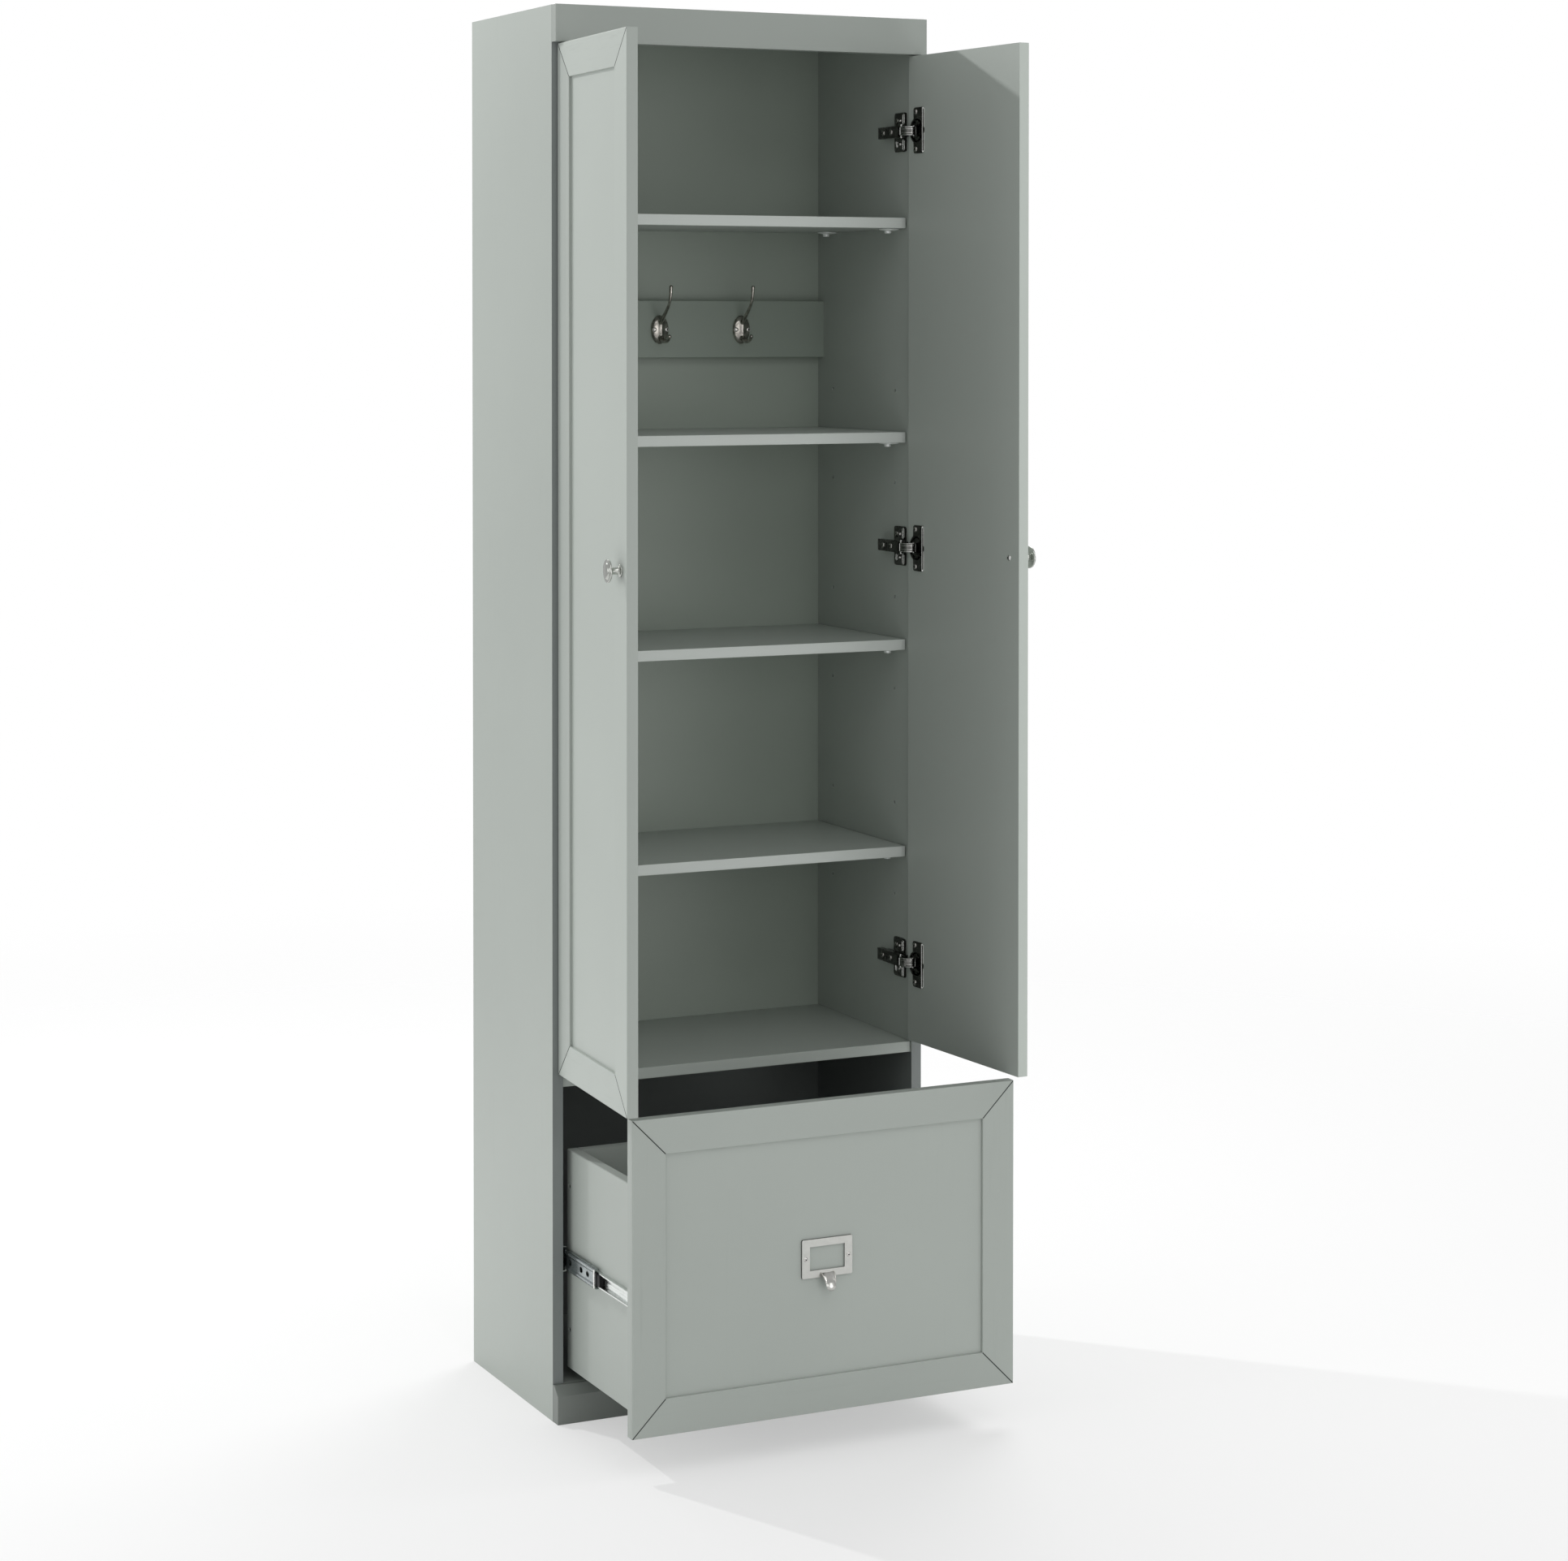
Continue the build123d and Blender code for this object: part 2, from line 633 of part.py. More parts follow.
keep(slab_between((-box_inside, box_front + board, box_bottom + 8), (box_inside, box_rear - board, box_bottom + 14)),
     "drawer_bottom")
keep(screws(Plane(origin=(0, box_front + board, 0), x_dir=(-1, 0, 0), z_dir=(0, 1, 0)),
            [(x, z) for x in (-190, 190) for z in (130, 300)], 4, 2.2, 1.9, board + 5), "front_fixing_screws")
corner_plane = Plane(origin=(-box_face + 2.2, 0, 0), x_dir=(0, -1, 0), z_dir=(-1, 0, 0))
keep_both(screws(corner_plane, [(-y, z) for y, z in corner_spots], 3.4, 1.8, 1.9, 32), "drawer_corner_screws")

# ---- Ball-bearing slides ----


def channel(face, lip, half, gauge, start, length, opens):
    """A rolled channel along Y: a web at face, with flanges that reach to lip and turn a little inwards."""
    inner, fold, inside = half - gauge, half - 1.5 * gauge, face + opens * gauge
    with BuildPart() as rolled:
        with BuildSketch(Plane(origin=(0, start, slide_height), x_dir=(1, 0, 0), z_dir=(0, -1, 0))):
            with BuildLine() as upper:
                Polyline((inside, 0), (inside, inner), (lip - opens * gauge, inner), (lip - opens * gauge, fold),
                         (lip, fold), (lip, half), (face, half), (face, 0))
                mirror(about=Plane.XZ)
            make_face()
        extrude(amount=-length)
    return rolled.part


wall = -side_face
middle_out = drawer_out / 2
with BuildPart() as cabinet_member:
    add(channel(wall, wall + 9, 17, 1.2, slide_start, slide_length, 1))
    with BuildSketch(Plane(origin=(wall, 0, 0), x_dir=(0, 1, 0), z_dir=(1, 0, 0))):
        with Locations(*slide_screw_spots):
            Circle(2.1)
    extrude(amount=1.2, mode=Mode.SUBTRACT)
keep_both(cabinet_member, "slide_cabinet_members")

with BuildPart() as middle_member:
    middle_start = slide_start - middle_out + 14
    add(channel(wall + 4, wall + 10.4, 13.4, 1.1, middle_start, slide_length - 14, 1))
    holes = [(middle_start + y, slide_height) for y in (9, 23, 37, 75, 115, 155, 195)]
    with BuildSketch(Plane(origin=(wall + 4, 0, 0), x_dir=(0, 1, 0), z_dir=(1, 0, 0))):
        with Locations(*holes):
            SlotOverall(8.5, 6.5, rotation=90)
    extrude(amount=1.1, mode=Mode.SUBTRACT)
keep_both(middle_member, "slide_middle_members")

with BuildPart() as stop:
    # The moulded stop closes the middle member's front end around the drawer member.
    stop_start = slide_start - middle_out
    with BuildSketch(Plane(origin=(0, stop_start, slide_height), x_dir=(1, 0, 0), z_dir=(0, -1, 0))):
        with Locations((wall + 7.2, 0)):
            RectangleRounded(6.4, 26.8, 1.2)
        with Locations((wall + 9, 0)):
            Rectangle(6.4, 20.6, mode=Mode.SUBTRACT)
    extrude(amount=-13.9)
keep_both(stop, "slide_stops")

with BuildPart() as drawer_member:
    add(channel(wall + slide_gap - 0.05, wall + 6.6, 9.8, 1.2, box_front + 2, slide_length, -1))
    with BuildSketch(Plane(origin=(wall + slide_gap, 0, 0), x_dir=(0, 1, 0), z_dir=(1, 0, 0))):
        with Locations(*member_screw_spots):
            Circle(1.7)
    extrude(amount=-1.3, mode=Mode.SUBTRACT)
keep_both(drawer_member, "slide_drawer_members")

for name, part_out, low, high, x in (("outer", 0.25, 13.9, 15.3, 6.6), ("inner", 0.75, 10.1, 11.4, 8.5)):
    # Strips that hold the balls, one above and one below on each side.
    strip_start = slide_start + 96 - drawer_out * part_out
    with BuildPart() as cage:
        for side in (-1, 1):
            with BuildSketch(Plane(origin=(0, strip_start, slide_height), x_dir=(1, 0, 0), z_dir=(0, -1, 0))):
                with Locations((wall + x, side * (low + high) / 2)):
                    Rectangle(2.2, high - low)
            extrude(amount=-110)
    keep_both(cage, f"slide_{name}_cages")

keep_both(screws(Plane(origin=(wall + 1.2, 0, 0), x_dir=(0, 1, 0), z_dir=(1, 0, 0)), slide_screw_spots,
                 3.4, 1.4, 1.9, 11), "slide_screws")
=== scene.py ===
import math

import bmesh
import bpy
from mathutils import Matrix, Vector


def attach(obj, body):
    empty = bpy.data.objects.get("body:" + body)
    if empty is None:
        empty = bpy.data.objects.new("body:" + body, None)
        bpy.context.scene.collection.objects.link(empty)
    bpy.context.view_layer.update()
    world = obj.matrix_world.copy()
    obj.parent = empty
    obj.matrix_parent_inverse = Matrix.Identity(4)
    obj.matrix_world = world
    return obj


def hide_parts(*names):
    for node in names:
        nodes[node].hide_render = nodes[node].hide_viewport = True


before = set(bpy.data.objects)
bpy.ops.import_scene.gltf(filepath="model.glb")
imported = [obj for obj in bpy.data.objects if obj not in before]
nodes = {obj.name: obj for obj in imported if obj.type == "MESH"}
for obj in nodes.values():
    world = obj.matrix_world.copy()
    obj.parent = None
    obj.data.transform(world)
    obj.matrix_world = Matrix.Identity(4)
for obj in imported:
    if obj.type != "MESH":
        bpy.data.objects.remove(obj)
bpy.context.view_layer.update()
scene = bpy.context.scene
print("frame loaded,", len(nodes), "nodes")

mm = 0.001
quarter = math.pi / 2

# The cabinet's fixed places, in metres
cabinet = {
    "sideFace": 0.265,
    "doorAngle": math.radians(94),
    "doorCorner": (-0.2574, -0.0035),
    "doorBoard": 0.015,
    "hingeHeights": (0.578, 1.161, 1.744),
    "knobSpot": (0.253, 1.161),
    "hookColumns": (-0.130, 0.0, 0.130),
    "hookHeight": 1.466,
    "labelHeight": 0.255,
    "railFace": 0.277,
    "frontFace": -0.2605,
    "boxFront": -0.2495,
    "boxFace": 0.2523,
    "slideHeight": 0.215,
    "drawerOut": 0.248,
}
heights, wall, level = cabinet["hingeHeights"], -cabinet["sideFace"], cabinet["slideHeight"]
inward, backward, forward = Vector((1, 0, 0)), Vector((0, 1, 0)), Vector((0, -1, 0))


def doorMatrix():
    # local x runs along the left door from its hinge edge, y up, z out through the painted face
    turn = cabinet["doorAngle"]
    along = Vector((math.cos(turn), -math.sin(turn), 0))
    out = Vector((-math.sin(turn), -math.cos(turn), 0))
    axes = Matrix((along, (0, 0, 1), out)).transposed().to_4x4()
    return Matrix.Translation((*cabinet["doorCorner"], 0)) @ axes


doorPlace = doorMatrix()
doorAlong, doorOut = (doorPlace.to_3x3() @ Vector(way) for way in ((1, 0, 0), (0, 0, 1)))


def onDoor(along, height, out):
    return doorPlace @ Vector((along, height, out))


# Helpers for node trees


def feed(tree, sockets, values):
    # a value is a plain one, a socket, or a node, which stands for its first output
    for key, value in values.items():
        if isinstance(value, bpy.types.Node):
            value = value.outputs[0]
        if isinstance(value, bpy.types.NodeSocket):
            tree.links.new(value, sockets[key])
        else:
            sockets[key].default_value = value


def addNode(tree, kind, inputs=None, **settings):
    node = tree.nodes.new(kind)
    for key, value in settings.items():
        setattr(node, key, value)
    feed(tree, node.inputs, inputs or {})
    return node


def maths(tree, operation, a, b=0.0):
    return addNode(tree, "ShaderNodeMath", {0: a, 1: b}, operation=operation)


def times(tree, a, b):
    return maths(tree, "MULTIPLY", a, b)


def plus(tree, a, b):
    return maths(tree, "ADD", a, b)


def mixed(tree, factor, a, b):
    return addNode(tree, "ShaderNodeMix", {0: factor, 6: a, 7: b}, data_type="RGBA").outputs[2]


def spread(tree, value, low, high, toLow=0.0, toHigh=1.0, **settings):
    inputs = {"Value": value, "From Min": low, "From Max": high, "To Min": toLow, "To Max": toHigh}
    return addNode(tree, "ShaderNodeMapRange", inputs, **settings)


def noise(tree, vector, scale, detail, rough=0.5, twist=0.0):
    inputs = {"Vector": vector, "Scale": scale, "Detail": detail, "Roughness": rough, "Distortion": twist}
    return addNode(tree, "ShaderNodeTexNoise", inputs)


def newTree(name, kind, inputs, outputs):
    # an input's kind follows from its value, and a socket that starts empty is given by its kind
    tree = bpy.data.node_groups.new(name, kind)
    kinds = {float: "Float", int: "Int", tuple: "Color"}
    for label, value in inputs.items():
        socketKind = "NodeSocket" + kinds.get(type(value), value if isinstance(value, str) else "")
        socket = tree.interface.new_socket(label, in_out="INPUT", socket_type=socketKind)
        if not isinstance(value, str):
            socket.default_value = value
    for label, value in outputs.items():
        tree.interface.new_socket(label, in_out="OUTPUT", socket_type="NodeSocket" + value)
    return tree, tree.nodes.new("NodeGroupInput").outputs, tree.nodes.new("NodeGroupOutput").inputs


# Shader groups, each used by several finishes


def clouded(tree, colour, cloud, share):
    # a colour that turns lighter and darker with the cloud
    tone = times(tree, spread(tree, cloud, 0.3, 0.7, -1.0, 1.0), share)
    scale = plus(tree, 1.0, tone)
    return addNode(tree, "ShaderNodeVectorMath", {0: colour, "Scale": scale}, operation="SCALE")


def makePaintFilm():
    # satin paint over open-pored board: faint pores, roller texture and slow colour drift
    tree, given, result = newTree(
        "paintFilm", "ShaderNodeTree",
        {"Vector": "Vector", "Paint": (0.4, 0.4, 0.4, 1), "Grain": 0.3, "Pore Scale": 60.0, "Drift": 0.03,
         "Base Roughness": 0.4},
        {"Color": "Color", "Roughness": "Float", "Height": "Float"})
    vector = given["Vector"]
    along = addNode(tree, "ShaderNodeVectorMath", {0: vector, 1: (1.0, 1.0, 0.045)}, operation="MULTIPLY")
    pores = spread(tree, noise(tree, along, given["Pore Scale"], 5.0, rough=0.62), 0.56, 0.74)
    patches = spread(tree, noise(tree, along, 9.0, 2.0, twist=0.8), 0.45, 0.62)
    grain = times(tree, times(tree, pores, patches), given["Grain"])
    peel = noise(tree, vector, 420.0, 2.0)
    varied = clouded(tree, given["Paint"], noise(tree, vector, 2.3, 3.0), given["Drift"])
    rough = plus(tree, given["Base Roughness"], times(tree, peel, 0.06))
    feed(tree, result, {
        "Color": mixed(tree, times(tree, grain, 0.32), varied, (0.12, 0.14, 0.125, 1)),
        "Roughness": plus(tree, rough, times(tree, grain, 0.15)),
        "Height": maths(tree, "SUBTRACT", times(tree, peel, 0.12), grain)})
    return tree


def makeMetalSkin():
    # plated or brushed metal: directional hairlines, cloudy plating and a few smudges
    tree, given, result = newTree(
        "metalSkin", "ShaderNodeTree",
        {"Vector": "Vector", "Metal": (0.6, 0.6, 0.6, 1), "Line Scale": 900.0, "Cloud": 0.1,
         "Base Roughness": 0.25, "Rough Change": 0.1},
        {"Color": "Color", "Roughness": "Float", "Height": "Float"})
    vector = given["Vector"]
    drawn = addNode(tree, "ShaderNodeVectorMath", {0: vector, 1: (0.03, 1.0, 1.0)}, operation="MULTIPLY")
    lines = noise(tree, drawn, given["Line Scale"], 3.0, rough=0.7)
    smudge = spread(tree, noise(tree, vector, 35.0, 2.0, twist=1.2), 0.4, 0.7)
    change = plus(tree, times(tree, smudge, given["Rough Change"]), times(tree, lines, 0.06))
    feed(tree, result, {
        "Color": clouded(tree, given["Metal"], noise(tree, vector, 140.0, 4.0), given["Cloud"]),
        "Roughness": plus(tree, given["Base Roughness"], change),
        "Height": lines})
    return tree


def makeRubAndSheen():
    # lighter patches, partly rubbed plating and partly painted highlights
    tree, given, result = newTree(
        "edgeRub", "ShaderNodeTree",
        {"Color": (0.5, 0.5, 0.5, 1), "Rubbed": (0.8, 0.8, 0.8, 1), "Vector": "Vector", "Amount": 0.3},
        {"Color": "Color"})
    patch = spread(tree, noise(tree, given["Vector"], 85.0, 4.0), 0.5, 0.72)
    wornAndSheened = times(tree, patch, given["Amount"])
    feed(tree, result, {"Color": mixed(tree, wornAndSheened, given["Color"], given["Rubbed"])})
    return tree


paintFilm, metalSkin, edgeRub = makePaintFilm(), makeMetalSkin(), makeRubAndSheen()

# The paint's colours, how strongly the grain shows, and where on the boards another colour takes over; the
# bay shade, back and rail colours are painted shade
sage = {
    "paint": (0.392, 0.427, 0.397),
    "shelfFrontTone": (0.525, 0.560, 0.532),
    "bayShade": (0.225, 0.245, 0.240),
    "back": (0.346, 0.392, 0.345),
    "rail": (0.283, 0.328, 0.286),
    "frontGrain": 0.32,
    "boardGrain": 0.10,
    "bayTop": 0.4489,
    "bayBack": 0.2975,
    "shelfFront": 0.0163,
    "freeStile": 0.2000,
    "doorEdge": 0.2766,
    "slack": 0.0002,
}


def tinted(share):
    return tuple(value * share for value in sage["paint"])


def objectPlace(tree):
    return addNode(tree, "ShaderNodeTexCoord").outputs["Object"]


def placeParts(tree):
    return addNode(tree, "ShaderNodeSeparateXYZ", {0: objectPlace(tree)}).outputs


def below(tree, value, limit):
    return maths(tree, "LESS_THAN", value, limit)


def above(tree, value, limit):
    return maths(tree, "GREATER_THAN", value, limit)


def bayZone(tree):
    # painted shade: the sides are dark on their front edges, and inside where the drawer runs
    x, y, z = placeParts(tree)
    inside = below(tree, maths(tree, "ABSOLUTE", x), cabinet["sideFace"] + sage["slack"])
    bay = times(tree, inside, below(tree, z, sage["bayTop"]))
    return maths(tree, "MAXIMUM", bay, below(tree, y, sage["slack"]))


def insideZone(tree):
    # painted shade: the drawer bay's back board is dark on its inner face only
    return below(tree, placeParts(tree)[1], sage["bayBack"])


def shelfEdgeZone(tree):
    # the shelves' front edges are lighter
    return below(tree, placeParts(tree)[1], sage["shelfFront"])


def doorMeasure(tree, acrossShare, aheadShare):
    # a place's distance from its own door's hinge corner, measured alike on both doors
    x, y, _ = placeParts(tree)
    cornerX, cornerY = cabinet["doorCorner"]
    across = times(tree, plus(tree, maths(tree, "ABSOLUTE", x), cornerX), acrossShare)
    return plus(tree, across, times(tree, maths(tree, "SUBTRACT", y, cornerY), aheadShare))


def doorRun(tree):
    # along the door from its hinge edge
    return doorMeasure(tree, -math.cos(cabinet["doorAngle"]), -math.sin(cabinet["doorAngle"]))


def innerFaceZone(tree):
    # the doors' inner faces are a little darker
    depth = doorMeasure(tree, math.sin(cabinet["doorAngle"]), -math.cos(cabinet["doorAngle"]))
    return below(tree, depth, sage["slack"])


def freeStileZone(tree):
    # painted light: the free stiles are made lighter than the hinge stiles
    return above(tree, doorRun(tree), sage["freeStile"])


def doorEdgeZone(tree):
    return above(tree, doorRun(tree), sage["doorEdge"])


def rightEdgeZone(tree):
    # painted highlight: the right door's free edge is made lighter than the rest of the door
    return times(tree, above(tree, placeParts(tree)[0], 0.0), doorEdgeZone(tree))


def blankFinish(name):
    finish = bpy.data.materials.new(name)
    finish.use_nodes = True
    return finish, finish.node_tree, finish.node_tree.nodes["Principled BSDF"]


def turnedPlace(tree, turn):
    return addNode(tree, "ShaderNodeMapping", {"Vector": objectPlace(tree), "Rotation": turn})


def paintFinish(name, paint=sage["paint"], grain=sage["boardGrain"], turn=(0, 0, 0), roughness=0.36,
                zones=()):
    # turn lays the mapping's z along the grain; zones say where other colours take over
    finish, tree, shader = blankFinish(name)
    film = addNode(tree, "ShaderNodeGroup", {
        "Vector": turnedPlace(tree, turn), "Paint": (*paint, 1), "Grain": grain, "Pore Scale": 150.0,
        "Drift": 0.025, "Base Roughness": roughness}, node_tree=paintFilm).outputs
    relief = addNode(tree, "ShaderNodeBump",
                     {"Height": film["Height"], "Strength": 0.5, "Distance": 0.25 * mm})
    colour = film["Color"]
    for mask, other in zones:
        colour = mixed(tree, mask(tree), colour, (*other, 1))
    feed(tree, shader.inputs, {"Base Color": colour, "Roughness": film["Roughness"], "Normal": relief,
                               "Specular IOR Level": 0.42})
    return finish


def metalFinish(name, metal, roughness, lineScale=900.0, cloud=0.08, change=0.12, turn=(0, 0, 0), bump=0.12,
                rubSheen=0.0, rubSheenColour=(0.7, 0.7, 0.68), metallic=1.0):
    finish, tree, shader = blankFinish(name)
    vector = turnedPlace(tree, turn)
    skin = addNode(tree, "ShaderNodeGroup", {
        "Vector": vector, "Metal": (*metal, 1), "Line Scale": lineScale, "Cloud": cloud,
        "Base Roughness": roughness, "Rough Change": change}, node_tree=metalSkin).outputs
    # rubbed patches, partly painted highlights
    wornAndSheened = addNode(tree, "ShaderNodeGroup", {"Vector": vector, "Color": skin["Color"], "Rubbed": (*rubSheenColour, 1),
                                             "Amount": rubSheen}, node_tree=edgeRub)
    relief = addNode(tree, "ShaderNodeBump",
                     {"Height": skin["Height"], "Strength": bump, "Distance": 0.1 * mm})
    feed(tree, shader.inputs, {"Base Color": wornAndSheened, "Roughness": skin["Roughness"], "Normal": relief,
                               "Metallic": metallic})
    return finish


def mouldingFinish(name):
    finish, tree, shader = blankFinish(name)
    rough = spread(tree, noise(tree, turnedPlace(tree, (0, 0, 0)), 700.0, 2.0), 0.3, 0.7, 0.38, 0.52)
    feed(tree, shader.inputs, {"Base Color": (0.010, 0.010, 0.011, 1), "Roughness": rough,
                               "Specular IOR Level": 0.18})
    return finish


alongX = (0, quarter, 0)  # turns the grain from upright to left-right
alongY = (quarter, 0, 0)  # and to front-back
drawnAlong = (0, 0, quarter)  # turns a metal's drawn lines to front-back
# painted shade on both doors' free edges, and a painted highlight on the right door's free edge
doorEdgeLightAndShade = ((doorEdgeZone, tinted(0.90)), (rightEdgeZone, tinted(1.22)))

# Some boards are a little lighter or darker than the carcass: the header, hook rail, plinth and back boards
# are darker as painted shade, and the door and drawer front parts are tinted one by one
paints = {
    "boardUpright": {},
    "boardAcross": {"turn": alongX},
    "sideBoard": {"zones": ((bayZone, sage["bayShade"]),)},
    "shelfBoard": {"turn": alongX, "zones": ((shelfEdgeZone, sage["shelfFrontTone"]),)},
    # painted shade: header, hook rail and plinth are darker than the paint
    "headerBoard": {"paint": tinted(0.80), "turn": alongX},
    "railBoard": {"paint": sage["rail"], "turn": alongX},
    "plinthBoard": {"paint": tinted(0.52), "turn": alongX},
    "backBoard": {"paint": sage["back"]},
    # painted shade inside the drawer bay
    "bayLining": {"paint": sage["back"], "roughness": 0.55, "zones": ((insideZone, sage["bayShade"]),)},
    "doorPanel": {"paint": tinted(1.11), "zones": ((innerFaceZone, tinted(0.975)), *doorEdgeLightAndShade)},
    "doorStile": {"paint": tinted(0.97), "grain": sage["frontGrain"],
                  "zones": ((freeStileZone, tinted(1.12)), *doorEdgeLightAndShade)},
    "doorRail": {"paint": tinted(1.10), "grain": sage["frontGrain"], "turn": alongY},
    "drawerPanel": {"paint": tinted(0.95)},
    "drawerStile": {"paint": tinted(0.92), "grain": sage["frontGrain"]},
    "drawerRail": {"paint": tinted(0.90), "grain": sage["frontGrain"], "turn": alongX},
    "openJoint": {"paint": (0.022, 0.025, 0.023), "grain": 0.0, "roughness": 0.8},
}
metals = {
    "gunmetal": {"metal": (0.070, 0.070, 0.066), "roughness": 0.22, "cloud": 0.15, "rubSheen": 0.35,
                 "rubSheenColour": (0.30, 0.30, 0.28)},
    "linkSteel": {"metal": (0.20, 0.20, 0.19), "roughness": 0.15, "cloud": 0.1},
    "middleZinc": {"metal": (0.33, 0.365, 0.37), "roughness": 0.16, "turn": drawnAlong, "cloud": 0.15},
    "recess": {"metal": (0.02, 0.02, 0.02), "roughness": 0.5},
    "nickelEdge": {"metal": (0.10, 0.10, 0.095), "roughness": 0.3},
    "brightSteel": {"metal": (0.80, 0.80, 0.78), "roughness": 0.18, "cloud": 0.1},
    "zincSlide": {"metal": (0.70, 0.73, 0.71), "roughness": 0.20, "turn": drawnAlong, "cloud": 0.03,
                  "change": 0.04, "bump": 0.05},
    "springSteel": {"metal": (0.30, 0.30, 0.30), "roughness": 0.30},
    "ballSteel": {"metal": (0.72, 0.72, 0.72), "roughness": 0.08},
    "satinNickel": {"metal": (0.60, 0.585, 0.55), "roughness": 0.24, "lineScale": 1400.0},
    "labelNickel": {"metal": (0.52, 0.525, 0.50), "roughness": 0.26, "lineScale": 1400.0, "cloud": 0.04},
    "tabNickel": {"metal": (0.50, 0.50, 0.475), "roughness": 0.13, "lineScale": 1400.0},
    "hookNickel": {"metal": (0.42, 0.40, 0.365), "roughness": 0.10, "cloud": 0.45, "rubSheen": 0.3,
                   "rubSheenColour": (0.60, 0.57, 0.53), "bump": 0.35},
    "screwSteel": {"metal": (0.62, 0.61, 0.59), "roughness": 0.14, "cloud": 0.15},
    "darkScrew": {"metal": (0.40, 0.39, 0.37), "roughness": 0.14, "cloud": 0.15},
    "padZinc": {"metal": (0.88, 0.91, 0.89), "roughness": 0.30, "cloud": 0.03, "bump": 0.04, "metallic": 0.3},
    "knobNickel": {"metal": (0.47, 0.485, 0.455), "roughness": 0.11, "lineScale": 1400.0, "cloud": 0.03,
                   "change": 0.04, "bump": 0.03},
}
finishes = {name: paintFinish(name, **values) for name, values in paints.items()}
finishes.update({name: metalFinish(name, **values) for name, values in metals.items()})
finishes["stopMoulding"] = mouldingFinish("stopMoulding")
print("finishes made:", len(finishes))

# Every carried-over node's finish, which its softened copy wears too
wornBy = {
    "sideBoard": "side_panel_left side_panel_right",
    "boardUpright": "drawer_side_left drawer_side_right",
    "boardAcross": "top_panel cupboard_floor bottom_panel drawer_box_front drawer_box_back drawer_bottom",
    "headerBoard": "header_board",
    "railBoard": "hook_rail",
    "plinthBoard": "base_board",
    "shelfBoard": "shelf_1 shelf_2 shelf_3 shelf_4",
    "backBoard": "cupboard_back",
    "bayLining": "drawer_bay_back",
    "doorPanel": "door_slab_left door_slab_right",
    "doorStile": "door_stiles_left door_stiles_right",
    "doorRail": "door_rails_left door_rails_right",
    "drawerPanel": "drawer_front_slab",
    "drawerStile": "drawer_front_stiles",
    "drawerRail": "drawer_front_rails",
    "gunmetal": "hinge_plates hinge_arms hinge_cups_left hinge_cups_right",
    "brightSteel": "hinge_links_left hinge_links_right arm_pins cup_pins_left cup_pins_right",
    "zincSlide": "slide_cabinet_members slide_middle_members slide_drawer_members",
    "stopMoulding": "slide_stops",
    "springSteel": "slide_outer_cages slide_inner_cages",
    "padZinc": "shelf_supports",
    "satinNickel": "door_knob_left door_knob_right label_pull",
    "hookNickel": "coat_hooks",
    "screwSteel": "hook_screws label_screws slide_screws front_fixing_screws drawer_corner_screws "
                  "knob_screw_left knob_screw_right",
    "darkScrew": "plate_screws arm_screws cup_screws_left cup_screws_right",
}
finishOf = {node: finish for finish, row in wornBy.items() for node in row.split()}
for node, finish in finishOf.items():
    materials = nodes[node].data.materials
    if not materials:
        materials.append(None)
    for number in range(len(materials)):
        materials[number] = finishes[finish]
print("boards and fittings dressed:", len(finishOf))


# Mesh helpers


def addObject(name, data):
    made = bpy.data.objects.new(name, data)
    scene.collection.objects.link(made)
    return made


def meshObject(name, shape):
    mesh = bpy.data.meshes.new(name)
    shape.to_mesh(mesh)
    shape.free()
    return addObject(name, mesh)


def addModifier(piece, kind, **settings):
    modifier = piece.modifiers.new(kind.lower(), kind)
    for key, value in settings.items():
        setattr(modifier, key, value)
    return modifier


def creased(shape, sharp):
    # smooth shading everywhere but over edges sharper than the given angle
    limit = math.radians(sharp)
    for face in shape.faces:
        face.smooth = True
    for edge in shape.edges:
        edge.smooth = len(edge.link_faces) == 2 and edge.calc_face_angle(0) < limit


def finishMesh(shape, name, finish, sharp=38, merge=0.002 * mm):
    # several finishes may be given in one string; faces pick theirs by material_index
    bmesh.ops.remove_doubles(shape, verts=shape.verts, dist=merge)
    bmesh.ops.recalc_face_normals(shape, faces=shape.faces)
    creased(shape, sharp)
    piece = meshObject(name, shape)
    for one in finish.split():
        piece.data.materials.append(finishes[one])
    return piece


def settle(piece, sharp=None):
    # turns the modifiers' result into the piece's own plain mesh
    graph = bpy.context.evaluated_depsgraph_get()
    mesh = bpy.data.meshes.new_from_object(piece.evaluated_get(graph))
    piece.modifiers.clear()
    piece.data = mesh
    mesh.name = piece.name
    if sharp:
        shape = bmesh.new()
        shape.from_mesh(mesh)
        bmesh.ops.remove_doubles(shape, verts=shape.verts, dist=0.001 * mm)
        creased(shape, sharp)
        shape.to_mesh(mesh)
        shape.free()
    return piece


def eased(piece, width, segments=2, angle=30, sharp=40):
    # rounds the corners, so that they catch the light
    addModifier(piece, "BEVEL", width=width, segments=segments, angle_limit=math.radians(angle))
    return settle(piece, sharp)


def softened(name, node, width, sharp=40):
    shape = bmesh.new()
    shape.from_mesh(nodes[node].data)
    bmesh.ops.remove_doubles(shape, verts=shape.verts, dist=0.004 * mm)
    bmesh.ops.dissolve_limit(shape, angle_limit=math.radians(1.5), verts=shape.verts, edges=shape.edges)
    return eased(finishMesh(shape, name, finishOf[node]), width, angle=32, sharp=sharp)


